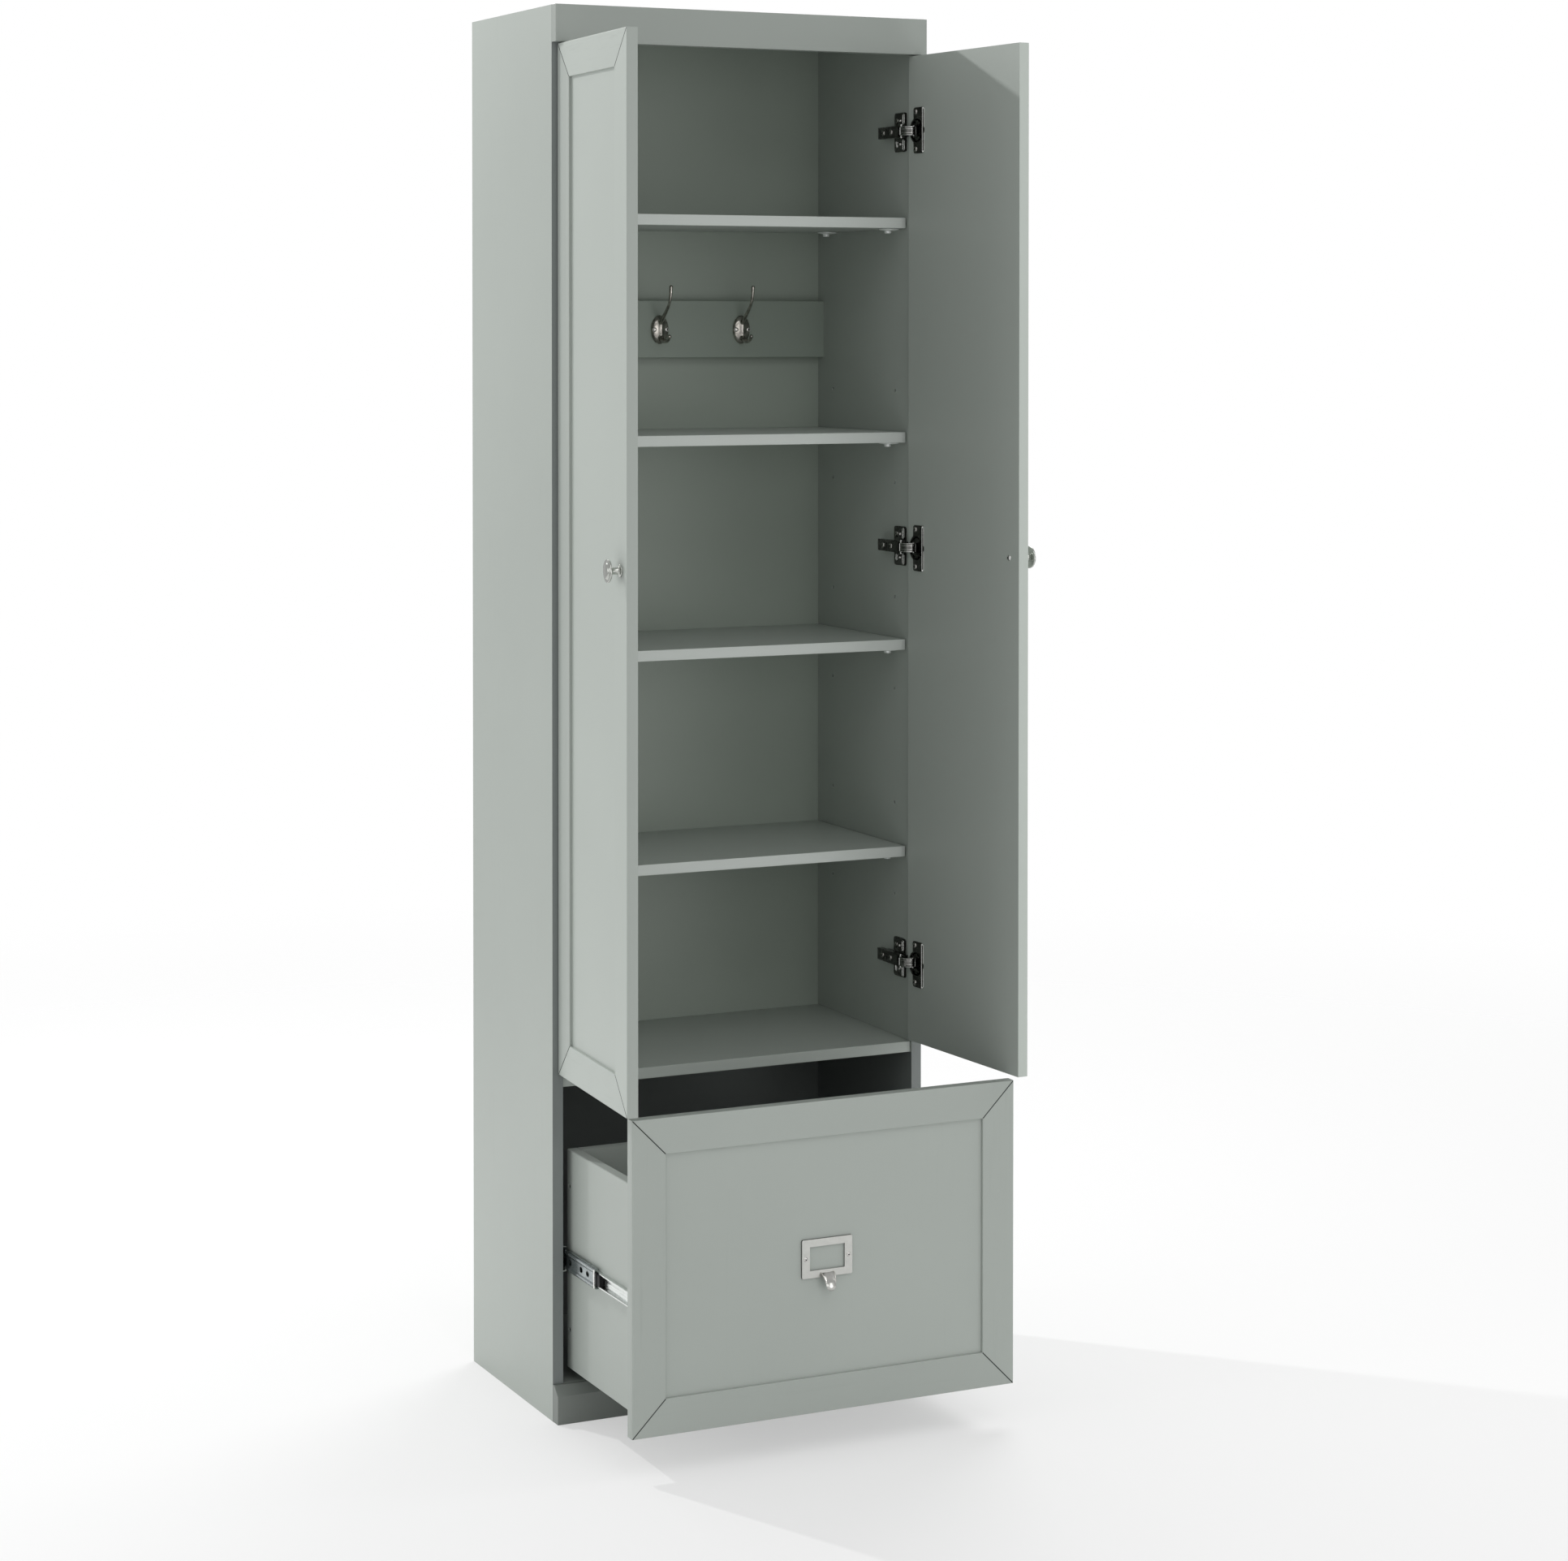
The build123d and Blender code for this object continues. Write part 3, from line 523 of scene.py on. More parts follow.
def bridged(shape, rows, closed=True, capped=True):
    # walls from each row of points to the next, and caps on the first and last
    faces = []
    for lower, upper in zip(rows, rows[1:]):
        for step in range(len(lower) - (not closed)):
            after = (step + 1) % len(lower)
            faces.append(shape.faces.new((lower[step], lower[after], upper[after], upper[step])))
    if closed and capped:
        faces += [shape.faces.new(rows[0][::-1]), shape.faces.new(rows[-1])]
    return faces


def circle(steps, start=0.0):
    return [2 * math.pi * (step + start) / steps for step in range(steps)]


def ringAt(shape, place, across, over, radius, sides):
    ways = [across * math.cos(angle) + over * math.sin(angle) for angle in circle(sides)]
    return [shape.verts.new(place + way * radius) for way in ways]


def tube(shape, points, radius, closed=False, sides=8, finishNumber=0):
    # a round bead along points
    count, rings, across = len(points), [], None
    for number, place in enumerate(points):
        after = points[(number + 1) % count] if closed or number < count - 1 else place
        before = points[number - 1] if closed or number else place
        ahead = (after - before).normalized()
        if across is None:
            across = ahead.orthogonal().normalized()
        across = (across - ahead * across.dot(ahead)).normalized()
        rings.append(ringAt(shape, place, across, ahead.cross(across), radius, sides))
    faces = [] if closed else [shape.faces.new(rings[0][::-1]), shape.faces.new(rings[-1])]
    for lower, upper in zip(rings, rings[1:] + rings[:1] * closed):
        # a ring may be turned against the one before it
        shift = min(range(sides), key=lambda k: (upper[k].co - lower[0].co).length)
        faces += bridged(shape, [lower, upper[shift:] + upper[:shift]], capped=False)
    for face in faces:
        face.material_index = finishNumber


def block(shape, low, high):
    corners = ((low[0], low[1]), (high[0], low[1]), (high[0], high[1]), (low[0], high[1]))
    bottom, top = ([shape.verts.new((x, y, z)) for x, y in corners] for z in (low[2], high[2]))
    shape.faces.new(bottom[::-1])
    shape.faces.new(top)
    bridged(shape, [bottom, top], capped=False)


def turned(shape, place, profile, steps):
    # a closed turned form; the profile's (radius, height) pairs are in millimetres, its ends on the axis
    rings = [[shape.verts.new(place @ (Vector((radius * math.cos(a), radius * math.sin(a), height)) * mm))
              for a in circle(steps)] for radius, height in profile[1:-1]]
    bridged(shape, rings, capped=False)
    for ring, (_, height) in ((rings[0][::-1], profile[0]), (rings[-1], profile[-1])):
        tip = shape.verts.new(place @ Vector((0, 0, height * mm)))
        for step in range(steps):
            shape.faces.new((ring[step], ring[(step + 1) % steps], tip))


def hand(piece, body, node=None):
    if node:
        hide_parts(node)
    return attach(piece, body)


def handBoth(left, body, node=""):
    # the left piece and its mirror image; a star in the body or node stands for the side
    mesh = left.data.copy()
    mesh.transform(Matrix.Scale(-1, 4, (1, 0, 0)))
    mesh.flip_normals()
    right = addObject(left.name.replace("Left", "Right"), mesh)
    for piece, side in ((left, "left"), (right, "right")):
        hand(piece, body.replace("*", side), node.replace("*", side))


# Geometry Nodes: cross-headed screws, rows of balls, pressed rims and copies of a fitting


def geo(tree, kind, inputs=None, **settings):
    return addNode(tree, "GeometryNode" + kind, inputs, **settings)


def vectorOf(tree, x=0.0, y=0.0, z=0.0):
    return addNode(tree, "ShaderNodeCombineXYZ", {0: x, 1: y, 2: z})


def geometryTree(name, inputs):
    return newTree(name, "GeometryNodeTree", {"Geometry": "Geometry", **inputs}, {"Geometry": "Geometry"})


def facingTurn(tree, axis, **settings):
    # aims the axis along the point's "facing"
    facing = geo(tree, "InputNamedAttribute", {"Name": "facing"}, data_type="FLOAT_VECTOR")
    return addNode(tree, "FunctionNodeAlignRotationToVector", {"Vector": facing}, axis=axis, **settings)


def onPoints(tree, points, instance, turn=(0, 0, 0)):
    return geo(tree, "InstanceOnPoints", {"Points": points, "Instance": instance, "Rotation": turn})


def finishTree(tree, given, result, geometry, chosen=True):
    real = geo(tree, "RealizeInstances", {"Geometry": geometry})
    feed(tree, result, {0: geo(tree, "SetMaterial", {"Geometry": real, "Selection": chosen,
                                                     "Material": given["Finish"]})})
    return tree


def makeScrewTree():
    tree, given, result = geometryTree("crossHeadScrews", {
        "Head Radius": 3.5 * mm, "Head Rise": 2 * mm, "Shank Radius": 1.8 * mm, "Shank Length": 10 * mm,
        "Seed": 1, "Finish": "Material", "Recess": "Material"})
    radius, rise, length = given["Head Radius"], given["Head Rise"], given["Shank Length"]
    dome = geo(tree, "MeshUVSphere", {"Segments": 28, "Rings": 14, "Radius": 1.0})
    head = geo(tree, "Transform", {"Geometry": dome, "Scale": vectorOf(tree, radius, radius, rise)})
    # the cross is two crossed bars, cut out of the head with their own dark finish: painted shade in the
    # recess
    narrow, depth = times(tree, radius, 0.30), times(tree, rise, 1.6)
    lift = vectorOf(tree, z=times(tree, rise, 1.1))
    cross = geo(tree, "MeshBoolean", operation="UNION", solver="EXACT")
    for wide, tall in ((radius, narrow), (narrow, radius)):
        bar = geo(tree, "MeshCube", {"Size": vectorOf(tree, wide, tall, depth)})
        feed(tree, cross.inputs, {"Mesh 2": geo(tree, "Transform", {"Geometry": bar, "Translation": lift})})
    dark = geo(tree, "SetMaterial", {"Geometry": cross, "Material": given["Recess"]})
    cut = geo(tree, "MeshBoolean", {"Mesh 1": head, "Mesh 2": dark}, operation="DIFFERENCE", solver="EXACT")
    crisp = geo(tree, "SetShadeSmooth", {0: cut, "Shade Smooth": False})
    brim = geo(tree, "CurvePrimitiveCircle", {"Resolution": 28, "Radius": radius})
    wire = geo(tree, "CurvePrimitiveCircle", {"Resolution": 8, "Radius": times(tree, radius, 0.13)})
    collar = geo(tree, "CurveToMesh", {"Curve": brim, "Profile Curve": wire})
    shank = geo(tree, "MeshCylinder", {"Vertices": 14, "Radius": given["Shank Radius"], "Depth": length})
    drop = vectorOf(tree, z=times(tree, length, -0.5))
    sunk = geo(tree, "Transform", {"Geometry": shank, "Translation": drop})
    screw = geo(tree, "JoinGeometry")
    for part in (sunk, collar, crisp):
        feed(tree, screw.inputs, {0: part})
    turn = addNode(tree, "FunctionNodeRandomValue", {"Min": 0.0, "Max": 3.1, "Seed": given["Seed"]},
                   data_type="FLOAT")
    angle = [socket for socket in turn.outputs if socket.enabled][0]
    spin = addNode(tree, "FunctionNodeAxisAngleToRotation", {"Axis": (0, 0, 1), "Angle": angle})
    seat = addNode(tree, "FunctionNodeRotateRotation", {0: facingTurn(tree, "Z"), 1: spin},
                   rotation_space="LOCAL")
    points = geo(tree, "MeshToPoints", {"Mesh": given["Geometry"]})
    kept = geo(tree, "MaterialSelection", {"Material": given["Recess"]})
    others = addNode(tree, "FunctionNodeBooleanMath", {0: kept}, operation="NOT")
    return finishTree(tree, given, result, onPoints(tree, points, screw, seat), others)


def makeBallTree():
    tree, given, result = geometryTree("ballRows", {
        "Count": 10, "Pitch": 8 * mm, "Ball Radius": 1.5 * mm, "Finish": "Material"})
    row = geo(tree, "MeshLine", {"Count": given["Count"], "Offset": vectorOf(tree, y=given["Pitch"])})
    ball = geo(tree, "MeshIcoSphere", {"Radius": given["Ball Radius"], "Subdivisions": 3})
    soft = geo(tree, "SetShadeSmooth", {0: ball, "Shade Smooth": True})
    return finishTree(tree, given, result, onPoints(tree, given["Geometry"], onPoints(tree, row, soft)))


def makeRimTree():
    # a bead pressed round a slot's outline, standing upright in the plane that faces "facing"
    tree, given, result = geometryTree("pressedRims", {
        "Width": 4 * mm, "Height": 16 * mm, "Bead": 0.5 * mm, "Finish": "Material"})
    outline = geo(tree, "CurvePrimitiveQuadrilateral", {"Width": given["Width"], "Height": given["Height"]})
    corner = times(tree, given["Width"], 0.48)
    rounded = geo(tree, "FilletCurve", {"Curve": outline, "Count": 8, "Radius": corner}, mode="POLY")
    wire = geo(tree, "CurvePrimitiveCircle", {"Resolution": 10, "Radius": given["Bead"]})
    bead = geo(tree, "CurveToMesh", {"Curve": rounded, "Profile Curve": wire})
    soft = geo(tree, "SetShadeSmooth", {0: bead, "Shade Smooth": True})
    upright = addNode(tree, "FunctionNodeAlignRotationToVector", {
        "Rotation": facingTurn(tree, "Z"), "Vector": (0, 0, 1)}, axis="Y", pivot_axis="Z")
    return finishTree(tree, given, result, onPoints(tree, given["Geometry"], soft, upright))


def makeCopyTree():
    # copies of one made fitting, each turned so that its x points along "facing"
    tree, given, result = geometryTree("placedCopies", {"Pattern": "Object", "Finish": "Material"})
    pattern = geo(tree, "ObjectInfo", {"Object": given["Pattern"]}).outputs["Geometry"]
    aim = facingTurn(tree, "X", pivot_axis="Z")
    return finishTree(tree, given, result, onPoints(tree, given["Geometry"], pattern, aim))


screwTree, ballTree, rimTree, copyTree = makeScrewTree(), makeBallTree(), makeRimTree(), makeCopyTree()


def grown(name, tree, spots, finish, values):
    # spots are (place, facing) pairs; the tree's result becomes a plain mesh
    carrier = bpy.data.meshes.new(name)
    carrier.from_pydata([place for place, _ in spots], [], [])
    facing = carrier.attributes.new("facing", "FLOAT_VECTOR", "POINT")
    for number, (_, way) in enumerate(spots):
        facing.data[number].vector = way
    piece = addObject(name, carrier)
    modifier = addModifier(piece, "NODES", node_group=tree)
    sockets = {s.name: s.identifier for s in tree.interface.items_tree if s.in_out == "INPUT"}
    for label, value in {**values, "Finish": finishes[finish], "Recess": finishes["recess"]}.items():
        if label in sockets:
            modifier[sockets[label]] = value
    return settle(piece, 35)


def mirrored(spots):
    return [(Vector((-p[0], p[1], p[2])), Vector((-w[0], w[1], w[2]))) for p, w in spots]


def both(spots):
    return spots + mirrored(spots)


# Screws, one piece for each body and size
hinges = {"plateBack": 0.033, "wingScrew": 0.016, "armScrews": (0.0345, 0.058), "cupScrew": (0.019, 0.026),
          "plateTop": 0.002, "armTop": 0.016, "camBack": 0.0425, "camRise": 0.0165, "armPin": (-0.250, 0.005),
          "cupPin": (0.00969, 0.0020), "linkBow": 0.0055}
screwPlaces = {"cupSink": 0.001, "hookAcross": 0.0092, "hookLift": 0.0050, "labelAcross": 0.0313,
               "labelLift": 0.0027, "slide": (0.037, 0.229), "slideLift": 0.0012, "frontAcross": 0.19,
               "frontHeights": (0.13, 0.30), "frontBoard": 0.015, "corner": 0.008, "cornerLift": 0.0022,
               "cornerHeights": (0.119, 0.313)}
sides = (-1, 1)


def screwSpots():
    # the left side's (place, facing) pairs for each set
    fixed = screwPlaces
    wing, (cupRun, cupRise) = hinges["wingScrew"], hinges["cupScrew"]
    return {
        "plate": [(Vector((wall + hinges["plateTop"], hinges["plateBack"], h + s * wing)), inward)
                  for h in heights for s in sides],
        "cam": [(Vector((wall + hinges["plateTop"], hinges["camBack"], h + hinges["camRise"])), inward)
                for h in heights],
        "arm": [(Vector((wall + hinges["armTop"], y, h)), inward)
                for h in heights for y in hinges["armScrews"]],
        "cup": [(onDoor(cupRun, h + s * cupRise, -fixed["cupSink"]), -doorOut)
                for h in heights for s in sides],
        "knob": [(onDoor(*cabinet["knobSpot"], 0), -doorOut)],
        "hook": [(Vector((x + s * fixed["hookAcross"], cabinet["railFace"] - fixed["hookLift"],
                          cabinet["hookHeight"])), forward) for x in cabinet["hookColumns"] for s in sides],
        "label": [(Vector((s * fixed["labelAcross"], cabinet["frontFace"] - fixed["labelLift"],
                           cabinet["labelHeight"])), forward) for s in sides],
        "slide": [(Vector((wall + fixed["slideLift"], y, level)), inward) for y in fixed["slide"]],
        "front": [(Vector((s * fixed["frontAcross"], cabinet["boxFront"] + fixed["frontBoard"], z)), backward)
                  for s in sides for z in fixed["frontHeights"]],
        "corner": [(Vector((fixed["cornerLift"] - cabinet["boxFace"], fixed["corner"], z)), -inward)
                   for z in fixed["cornerHeights"]],
    }


spots = screwSpots()
# finish, then head radius, rise, shank radius and length in millimetres
cupScrew = ("darkScrew", 3.6, 1.8, 1.7, 11)
knobBolt = ("brightSteel", 3.6, 1.8, 1.9, 22)
cornerScrew = ("screwSteel", 3.4, 1.8, 1.8, 30)
screwSets = (
    # piece, body, node and spots, then finish and sizes as above
    ("plateScrews", "carcass", "plate_screws", both(spots["plate"]), "screwSteel", 2.7, 2.2, 1.9, 12),
    ("camScrews", "carcass", None, both(spots["cam"]), "darkScrew", 3.5, 1.2, 1.8, 3),
    ("armScrews", "carcass", "arm_screws", both(spots["arm"]), "darkScrew", 3.7, 1.8, 1.8, 13),
    ("hookScrews", "carcass", "hook_screws", spots["hook"], "screwSteel", 3.3, 1.5, 1.7, 15),
    ("slideScrews", "carcass", "slide_screws", both(spots["slide"]), "screwSteel", 3.4, 1.4, 1.8, 11),
    ("cupScrewsLeft", "left_door", "cup_screws_left", spots["cup"], *cupScrew),
    ("cupScrewsRight", "right_door", "cup_screws_right", mirrored(spots["cup"]), *cupScrew),
    ("knobBoltLeft", "left_door", "knob_screw_left", spots["knob"], *knobBolt),
    ("knobBoltRight", "right_door", "knob_screw_right", mirrored(spots["knob"]), *knobBolt),
    ("labelScrews", "drawer", "label_screws", spots["label"], "screwSteel", 2.9, 1.0, 1.5, 9),
    ("frontFixingScrews", "drawer", "front_fixing_screws", spots["front"], "screwSteel", 4.0, 2.2, 1.8, 19),
    ("boxCornerScrews", "drawer", "drawer_corner_screws", both(spots["corner"]), *cornerScrew),
)
for number, (name, body, node, places, finish, *measures) in enumerate(screwSets):
    labels = ("Head Radius", "Head Rise", "Shank Radius", "Shank Length")
    sizes = {label: size * mm for label, size in zip(labels, measures)}
    hand(grown(name, screwTree, places, finish, {**sizes, "Seed": number + 3}), body, node)
print("screws placed:", sum(len(row[3]) for row in screwSets))

# Balls between the slide members, two rows on each side
balls = {"count": 12, "pitch": 0.0088, "radius": 0.00115, "start": 0.1125,
         # piece: body, share of the drawer's travel, level from the slide's middle, distance from the wall
         "rows": {"outerBalls": ("outer_cages", 0.25, 0.0146, 0.0066),
                  "innerBalls": ("inner_cages", 0.75, 0.01075, 0.0085)}}
for name, (body, share, rise, out) in balls["rows"].items():
    start = balls["start"] - cabinet["drawerOut"] * share
    places = [(Vector((wall + out, start, level + s * rise)), inward) for s in sides]
    sizes = {"Count": balls["count"], "Pitch": balls["pitch"], "Ball Radius": balls["radius"]}
    hand(grown(name, ballTree, both(places), "ballSteel", sizes), body)

# Bright beads pressed round the hinge wings' ribs and slots and the cup flanges' lips, with balls at the
# lips' ends and on the link pins
rims = {"rib": (0.0044, 0.0150, 0.00065), "slot": (0.0030, 0.0090, 0.00060), "lip": (0.0026, 0.0615, 0.00055),
        "ribPlace": (0.0036, 0.0135, 0.018), "slotPlace": (0.0021, 0.0165), "lipPlace": (0.0400, -0.0017),
        "endPlace": (0.0396, -0.0018, 0.0302), "endBall": 0.0015, "pinRise": 0.0083, "pinBall": 0.0017}


def rimSpots():
    ribOut, ribBack, ribRise = rims["ribPlace"]
    slotOut, slotDrop = rims["slotPlace"]
    lipRun, lipOut = rims["lipPlace"]
    endRun, endOut, endRise = rims["endPlace"]
    return {
        "rib": [(Vector((wall + ribOut, hinges["plateBack"] - ribBack, h + s * ribRise)), inward)
                for h in heights for s in sides],
        "slot": [(Vector((wall + slotOut, hinges["camBack"], h - slotDrop)), inward) for h in heights],
        "lip": [(onDoor(lipRun, h, lipOut), doorAlong) for h in heights],
        "end": [(onDoor(endRun, h + s * endRise, endOut), doorAlong) for h in heights for s in sides],
        "pin": [(Vector((*hinges["armPin"], h + s * rims["pinRise"])), inward)
                for h in heights for s in sides],
    }


spots = rimSpots()
for name, body, key, places in (("wingRibBeads", "carcass", "rib", both(spots["rib"])),
                                ("wingSlotBeads", "carcass", "slot", both(spots["slot"])),
                                ("flangeLipBeadsLeft", "left_door", "lip", spots["lip"]),
                                ("flangeLipBeadsRight", "right_door", "lip", mirrored(spots["lip"]))):
    sizes = dict(zip(("Width", "Height", "Bead"), rims[key]))
    hand(grown(name, rimTree, places, "brightSteel", sizes), body)
for name, body, size, places in (("flangeLipEndsLeft", "left_door", "endBall", spots["end"]),
                                 ("flangeLipEndsRight", "right_door", "endBall", mirrored(spots["end"])),
                                 ("pinHeads", "carcass", "pinBall", both(spots["pin"]))):
    sizes = {"Count": 1, "Ball Radius": rims[size]}
    hand(grown(name, ballTree, places, "brightSteel", sizes), body)
print("balls and beads placed")

# Stepped blocks inside the cups, above and below the link
cupBlocks = {
    # near and far along the door, low and high from the hinge's middle, and how far out each starts
    "steps": ((0.0125, 0.0270, 0.0085, 0.0118, 0.0012), (0.0160, 0.0235, 0.0118, 0.0142, 0.0004)),
    "depth": 0.0045, "corner": 0.0004,
}


def cupInserts():
    shape = bmesh.new()
    for h in heights:
        for side in sides:
            for near, far, low, high, out in cupBlocks["steps"]:
                bottom, top = sorted((side * low, side * high))
                block(shape, (near, h + bottom, out), (far, h + top, out + cupBlocks["depth"]))
    bmesh.ops.transform(shape, matrix=doorPlace, verts=shape.verts)
    return eased(finishMesh(shape, "cupInsertsLeft", "gunmetal"), cupBlocks["corner"])


handBoth(cupInserts(), "*_door")

# Hinge links: a bowed polished plate rolled round both pins, with a bright border and two ribs
link = {"half": 0.0063, "skin": 0.0020, "gauge": 0.0012, "drop": 0.0009, "past": 0.0026, "endBead": 0.0008,
        # levels of the border and ribs, with their beads' radii, and shares of the run between the pins
        "border": (0.90, 0.00038), "rib": (0.42, 0.00030), "from": 0.10, "to": 1.3, "ribFrom": 0.3,
        "ribRun": 0.8, "steps": 20, "levels": (-1, -0.98, -0.93, -0.86, -0.5, 0, 0.5, 0.86, 0.93, 0.98, 1)}


def linkPlaces():
    # gives a function from (share along the link, level from -1 to 1, lift off the spine) to a place
    start = Vector((*hinges["armPin"], 0))
    end = onDoor(hinges["cupPin"][0], 0, hinges["cupPin"][1])
    run = (end - start).normalized()
    side = Vector((-run.y, run.x, 0))
    half, bow = (end - start).length / 2, hinges["linkBow"]
    radius = (half * half + bow * bow) / (2 * bow)
    centre = (start + end) / 2 + side * (bow - radius)
    sweep = math.asin(half / radius)

    def placeAt(share, height, lift):
        angle = (2 * min(share, 1) - 1) * sweep
        way = side * math.cos(angle) + run * math.sin(angle)
        ahead = run * math.cos(angle) - side * math.sin(angle)
        past = max(0.0, share - 1) * link["past"] / (link["to"] - 1)
        return centre + way * (radius + lift) + ahead * past + Vector((0, 0, height * link["half"]))

    return placeAt


def hingeLinks():
    shape, placeAt = bmesh.new(), linkPlaces()
    first, last, skin = link["from"], link["to"], link["skin"]
    shares = [first + step / link["steps"] * (last - first) for step in range(link["steps"] + 1)]
    # the skin rolls over towards its two long edges
    drops = [link["drop"] * max(0.0, (abs(height) - 0.84) / 0.16) ** 2 for height in link["levels"]]
    for h in heights:
        up = Vector((0, 0, h))
        rings = []
        for share in shares:
            ring = [placeAt(share, height, skin - drop) for height, drop in zip(link["levels"], drops)]
            ring += [placeAt(share, height, skin - link["gauge"]) for height in (1, -1)]
            rings.append([shape.verts.new(place + up) for place in ring])
        bridged(shape, rings)
        edge, bead = link["border"]
        across = [first + step / 14 * (last - first) for step in range(15)]
        upright = [step / 6 * 2 * edge - edge for step in range(1, 6)]
        path = [(share, -edge) for share in across] + [(across[-1], height) for height in upright]
        path += [(share, edge) for share in across[::-1]] + [(across[0], height) for height in upright[::-1]]
        border = [placeAt(share, height, skin) + up for share, height in path]
        tube(shape, border, bead, closed=True, finishNumber=1)
        edge, bead = link["rib"]
        across = [link["ribFrom"] + step / 10 * link["ribRun"] for step in range(11)]
        for height in (-edge, edge):
            rib = [placeAt(share, height, skin) + up for share in across]
            tube(shape, rib, bead, finishNumber=1)
        end = [placeAt(first, step / 5, skin) + up for step in range(-4, 5)]
        tube(shape, end, link["endBead"], finishNumber=1)
    return finishMesh(shape, "hingeLinksLeft", "linkSteel brightSteel")


handBoth(hingeLinks(), "*_links", "hinge_links_*")
print("hinge links rolled")

# Fittings with rounded corners
softPieces = (
    ("hingePlates", "hinge_plates", 0.35, "carcass", "hinge_steel"),
    ("hingeArms", "hinge_arms", 0.35, "carcass", "hinge_steel"),
    ("hingeCupsLeft", "hinge_cups_left", 0.30, "left_door", "hinge_steel"),
    ("hingeCupsRight", "hinge_cups_right", 0.30, "right_door", "hinge_steel"),
    ("slideCabinetMembers", "slide_cabinet_members", 0.25, "carcass", "slide_zinc"),
    ("slideDrawerMembers", "slide_drawer_members", 0.25, "drawer", "slide_zinc"),
)
for name, node, corner, body, slot in softPieces:
    hand(softened(name, node, corner * mm), body, node)
print("fittings softened")

# Boards with eased edges
easedBoards = {
    "carcass": "side_panel_left side_panel_right top_panel header_board base_board hook_rail cupboard_floor "
               "shelf_1 shelf_2 shelf_3 shelf_4",
    "left_door": "door_slab_left door_stiles_left door_rails_left",
    "right_door": "door_slab_right door_stiles_right door_rails_right",
    "drawer": "drawer_side_left drawer_side_right drawer_front_slab drawer_front_stiles drawer_front_rails",
}
for body, row in easedBoards.items():
    for node in row.split():
        hand(softened("eased_" + node, node, 0.6 * mm, sharp=10), body, node)
print("boards eased")

# Drawer slides' middle members: a rolled strip with stadium holes, an end strap and a moulded stop
middle = {
    # the strip's upper half, (out from the wall, up) in millimetres
    "profile": ((5.9, 0), (5.9, 7.2), (4.55, 8.6), (4.55, 11.6), (5.6, 12.85), (9.3, 12.85),
                (9.85, 12.4), (9.85, 12.0)),
    "bend": 0.7, "gauge": 0.0011, "ends": (-0.100, 0.136),
    "holes": (0.028, 0.050, 0.088, 0.126, 0.164, 0.202),
    "hole": (0.0100, 0.0075), "punch": (0.003, 0.009),
    # near, far and half height in millimetres, then the ends along the drawer in metres
    "strap": (3.45, 4.9, 12.4, -0.1003, -0.0958), "strapGauge": (0.7, 0.6),
    "stop": (5.0, 10.9, 7.7, -0.114, -0.1003), "collar": (4.1, 5.6, 9.5, -0.1043, -0.1003),
}


def bentLine(points, reach):
    # the inner corners of a line, each swapped for a short curve
    line = [points[0]]
    for before, spot, after in zip(points, points[1:], points[2:]):
        back, ahead = before - spot, after - spot
        size = min(reach, back.length * 0.4, ahead.length * 0.4)
        one, two = spot + back.normalized() * size, spot + ahead.normalized() * size
        line += [one * (1 - t) ** 2 + spot * 2 * t * (1 - t) + two * t * t for t in (0, 0.33, 0.67, 1)]
    return line + [points[-1]]


def holePunches():
    shape = bmesh.new()
    long, tall = middle["hole"]
    for place in middle["holes"]:
        centre = middle["ends"][0] + place
        outline = [(centre + math.copysign((long - tall) / 2, math.cos(a)) + math.cos(a) * tall / 2,
                    level + math.sin(a) * tall / 2) for a in circle(24, start=0.5)]
        bridged(shape, [[shape.verts.new((wall + out, y, z)) for y, z in outline] for out in middle["punch"]])
    return finishMesh(shape, "punches", "zincSlide", sharp=30)


def rolledMember():
    upper = bentLine([Vector(spot) for spot in middle["profile"]], middle["bend"])
    line = [(wall + x * mm, level + y * mm) for x, y in [(x, -y) for x, y in upper[:0:-1]] + upper]
    shape = bmesh.new()
    bridged(shape, [[shape.verts.new((x, y, z)) for x, z in line] for y in middle["ends"]], closed=False)
    piece = finishMesh(shape, "slideMiddleLeft", "middleZinc", sharp=60)
    addModifier(piece, "SOLIDIFY", thickness=middle["gauge"], offset=0, use_even_offset=True)
    punches = holePunches()
    addModifier(piece, "BOOLEAN", operation="DIFFERENCE", solver="EXACT", object=punches)
    settle(piece, 30)
    bpy.data.objects.remove(punches)
    return piece


def slideBlocks(name, finish, width, blocks, segments=2):
    # blocks by near, far, low, high in millimetres from the wall and the slide's middle, and front, back
    shape = bmesh.new()
    for near, far, low, high, front, back in blocks:
        block(shape, (wall + near * mm, front, level + low * mm), (wall + far * mm, back, level + high * mm))
    return eased(finishMesh(shape, name, finish), width, segments=segments)


def slideStrap():
    near, far, tall, *ends = middle["strap"]
    web, lip = middle["strapGauge"]
    return slideBlocks("slideStrapLeft", "brightSteel", 0.0002, (
        (near, near + web, -tall, tall, *ends), (near, far, tall - lip, tall, *ends),
        (near, far, -tall, lip - tall, *ends)))


def slideStop():
    blocks = [(near, far, -tall, tall, *ends)
              for near, far, tall, *ends in (middle["stop"], middle["collar"])]
    return slideBlocks("slideStopLeft", "stopMoulding", 0.0006, blocks, segments=3)


handBoth(rolledMember(), "slide_middles", "slide_middle_members")
handBoth(slideStrap(), "slide_middles")
handBoth(slideStop(), "slide_middles", "slide_stops")
print("slides rolled")

